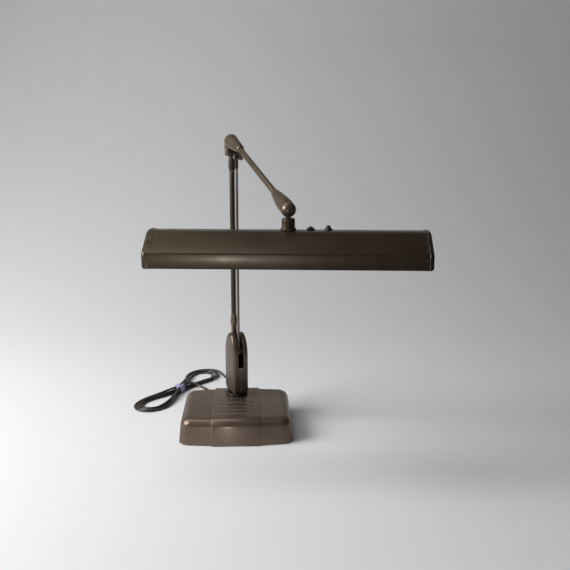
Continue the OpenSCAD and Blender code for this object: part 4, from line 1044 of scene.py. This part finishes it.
def place_piece(piece, body, slot, *stands_for, finish=None):
    """Give a finished piece its material, its body and the solids that it stands for."""
    dress(piece, finish or slot)
    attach(piece, body)
    if stands_for:
        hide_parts(*stands_for)


for entry in frame["record"]["subparts"]:
    solid = nodes[entry["node"]]
    for spot in solid.material_slots:
        spot.material = FINISH[entry["material_slot"]]

tie = ribbon_tie()
place_piece(tie, "base", "tie_cover", "cord_tie")
cord, cord_length = make_cord()
place_piece(cord, "base", "cord_cover", "cord_lead", "cord_hank", "cord_tail")

place_piece(base_housing(), "base", "brown_paint", "base_shell")
for name, side, node in (
    ("pod_left_half", -1, "pod_left_shell"),
    ("pod_right_half", 1, "pod_right_shell"),
):
    place_piece(pod_half(name, side), "pod", "brown_paint", node, finish="pod_paint")
place_piece(shade_trough(), "shade", "brown_paint", "shade_shell", finish="shade_paint")
# End caps take bronze edge wear that also serves as a painted highlight on their rims
for name, side, node in (
    ("shade_left_cap", -1, "left_end_cap"),
    ("shade_right_cap", 1, "right_end_cap"),
):
    place_piece(end_cap(name, side), "shade", "brown_paint", node, finish="cap_paint_and_highlight")
hood = cast_copy("elbow_casting", "elbow_hood", HOOD_GRAIN, HOOD_ROUNDS)
place_piece(hood, "upper_arm", "arm_paint", "elbow_hood")
for name, node in (
    ("ball_socket_left", "socket_left_half"),
    ("ball_socket_right", "socket_right_half"),
):
    half = full_drop(name, node)
    place_piece(half, "upper_arm", "arm_paint", node)
    # Painted shade in the notch of the teardrop
    paint_notch_shade(half)

# Solids kept in shape, with their edges eased: new name, node, body, finish, edge in millimetres
EASED = [
    ("foot_casting", "arm_foot", "lower_arm", "arm_paint", 0.6),
    # Painted shade: the head casting under the hood takes the darker tube enamel
    ("head_casting", "arm_head", "lower_arm", "tube_paint_and_shade", 0.6),
    ("main_arm_tube", "main_tube", "lower_arm", "tube_paint_and_shade", 0.3),
    ("control_bar", "control_rod", "control_link", "rod_paint", 0.3),
    ("control_lower_eye", "rod_lower_eye", "control_link", "arm_paint", 0.4),
    # Painted shade: the upper control eye under the hood takes the darker tube enamel
    ("control_upper_eye", "rod_upper_eye", "control_link", "tube_paint_and_shade", 0.4),
    ("upper_arm_tube", "upper_tube", "upper_arm", "arm_paint", 0.3),
    ("ball_and_stem", "ball_stem", "ball_joint", "dark_steel", 0.3),
    ("stem_collar", "shade_collar", "shade", "shade_paint", 0.7),
    ("button_rings", "button_bezels", "shade", "black_plastic", 0.4),
    ("start_key_cap", "start_button", "start_key", "red_plastic", 0.4),
    ("stop_key_cap", "stop_button", "stop_key", "black_plastic", 0.3),
    ("pod_seat_ring", "swivel_seat", "base", "dark_steel", 0.8),
    ("relief_sleeve", "strain_relief", "base", "cord_cover", 0.6),
    ("elbow_rivet", "elbow_pin", "upper_arm", "steel", 0.6),
    ("neck_set_screw", "neck_screw", "upper_arm", "dark_steel", 0.4),
    ("cap_screw_heads", "cap_screws", "shade", "shade_paint", 0.2),
]
for name, node, body, finish, edge in EASED:
    slot = next(e["material_slot"] for e in frame["record"]["subparts"] if e["node"] == node)
    place_piece(eased_copy(name, node, edge * MM), body, slot, node, finish=finish)


# Stage: pale paper floor swept up into a backdrop, in metres
PAPER_SIZE = (9, 4.1, 1)
PAPER_MIDDLE = (0, 1.35, 0)
PAPER_BACK = 3.3
PAPER_RISE = 4.5
PAPER_BEND = 2.7
PAPER_BEND_STEPS = 32
PAPER_FLOOR_TONE = (0.83, 0.83, 0.835, 1)
PAPER_TOP_TONE = (0.92, 0.92, 0.925, 1)
PAPER_TONE_SPAN = (0.1, 1.4)
PAPER_ROUGHNESS = 0.9


def paper_sweep():
    deselect()
    bpy.ops.mesh.primitive_plane_add(size=1)
    paper = bpy.context.object
    paper.name = "paper_sweep"
    paper.scale = PAPER_SIZE
    paper.location = PAPER_MIDDLE
    bpy.ops.object.transform_apply(location=True, rotation=True, scale=True)
    bpy.ops.object.mode_set(mode="EDIT")
    pick("EDGE", lambda e: middle(e).y > PAPER_BACK)
    bpy.ops.mesh.extrude_edges_move(TRANSFORM_OT_translate={"value": (0, 0, PAPER_RISE)})
    pick("EDGE", lambda e: along_x(e) and middle(e).y > PAPER_BACK and middle(e).z < TINY)
    round_off(PAPER_BEND, PAPER_BEND_STEPS)
    close()
    soften(paper, 60)
    material, tree, shader = finish_base("grey_paper")
    place = tree.nodes.new("ShaderNodeTexCoord")
    apart = tree.nodes.new("ShaderNodeSeparateXYZ")
    tree.links.new(place.outputs["Object"], apart.inputs["Vector"])
    rising = tree.nodes.new("ShaderNodeMapRange")
    span(rising, "From Min", "From Max", PAPER_TONE_SPAN)
    tree.links.new(apart.outputs["Z"], rising.inputs["Value"])
    tone = tree.nodes.new("ShaderNodeMix")
    tone.data_type = "RGBA"
    tone.inputs["A"].default_value = PAPER_FLOOR_TONE
    tone.inputs["B"].default_value = PAPER_TOP_TONE
    tree.links.new(rising.outputs["Result"], tone.inputs["Factor"])
    tree.links.new(tone.outputs["Result"], shader.inputs["Base Color"])
    shader.inputs["Roughness"].default_value = PAPER_ROUGHNESS
    paper.data.materials.append(material)


paper_sweep()


# Light: a large soft window at the left, a small low card in front, a weak card above
# and a light on the backdrop, each with its place, its aim, its size in metres and its watts
LIGHTS = [
    ("window_light", (-1.9, -0.6, 1.4), (0.0, 0.0, 0.25), (1.7, 1.4), 67),
    ("low_card", (-0.37, -2.2, 0.06), (0.0, 0.0, 0.4), (0.16, 0.10), 3.4),
    ("backdrop_light", (-1.0, 1.0, 2.4), (-0.4, 2.8, 0.7), (1.3, 1.1), 4.5),
    ("ceiling_card", (-0.85, -0.2, 2.25), (-0.2, -0.1, 0.0), (0.5, 1.7), 9),
]
WORLD_TONE = (0.9, 0.92, 0.95, 1)
WORLD_FILL = 0.085
WORLD_SEEN = 0.55


def soft_box(name, at, toward, size, power):
    deselect()
    bpy.ops.object.light_add(type="AREA", location=at)
    lamp = bpy.context.object
    lamp.name = name
    lamp.data.shape = "RECTANGLE"
    lamp.data.size, lamp.data.size_y = size
    lamp.data.energy = power
    aim = Vector(toward) - Vector(at)
    lamp.rotation_euler = aim.to_track_quat("-Z", "Y").to_euler()


for light in LIGHTS:
    soft_box(*light)

world = bpy.data.worlds.new("studio")
bpy.context.scene.world = world
world.use_nodes = True
backdrop = world.node_tree.nodes["Background"]
backdrop.inputs["Color"].default_value = WORLD_TONE
ray = world.node_tree.nodes.new("ShaderNodeLightPath")
glow = world.node_tree.nodes.new("ShaderNodeMapRange")
span(glow, "To Min", "To Max", (WORLD_FILL, WORLD_SEEN))
world.node_tree.links.new(ray.outputs["Is Camera Ray"], glow.inputs["Value"])
world.node_tree.links.new(glow.outputs["Result"], backdrop.inputs["Strength"])

bpy.context.scene.view_settings.view_transform = "Standard"
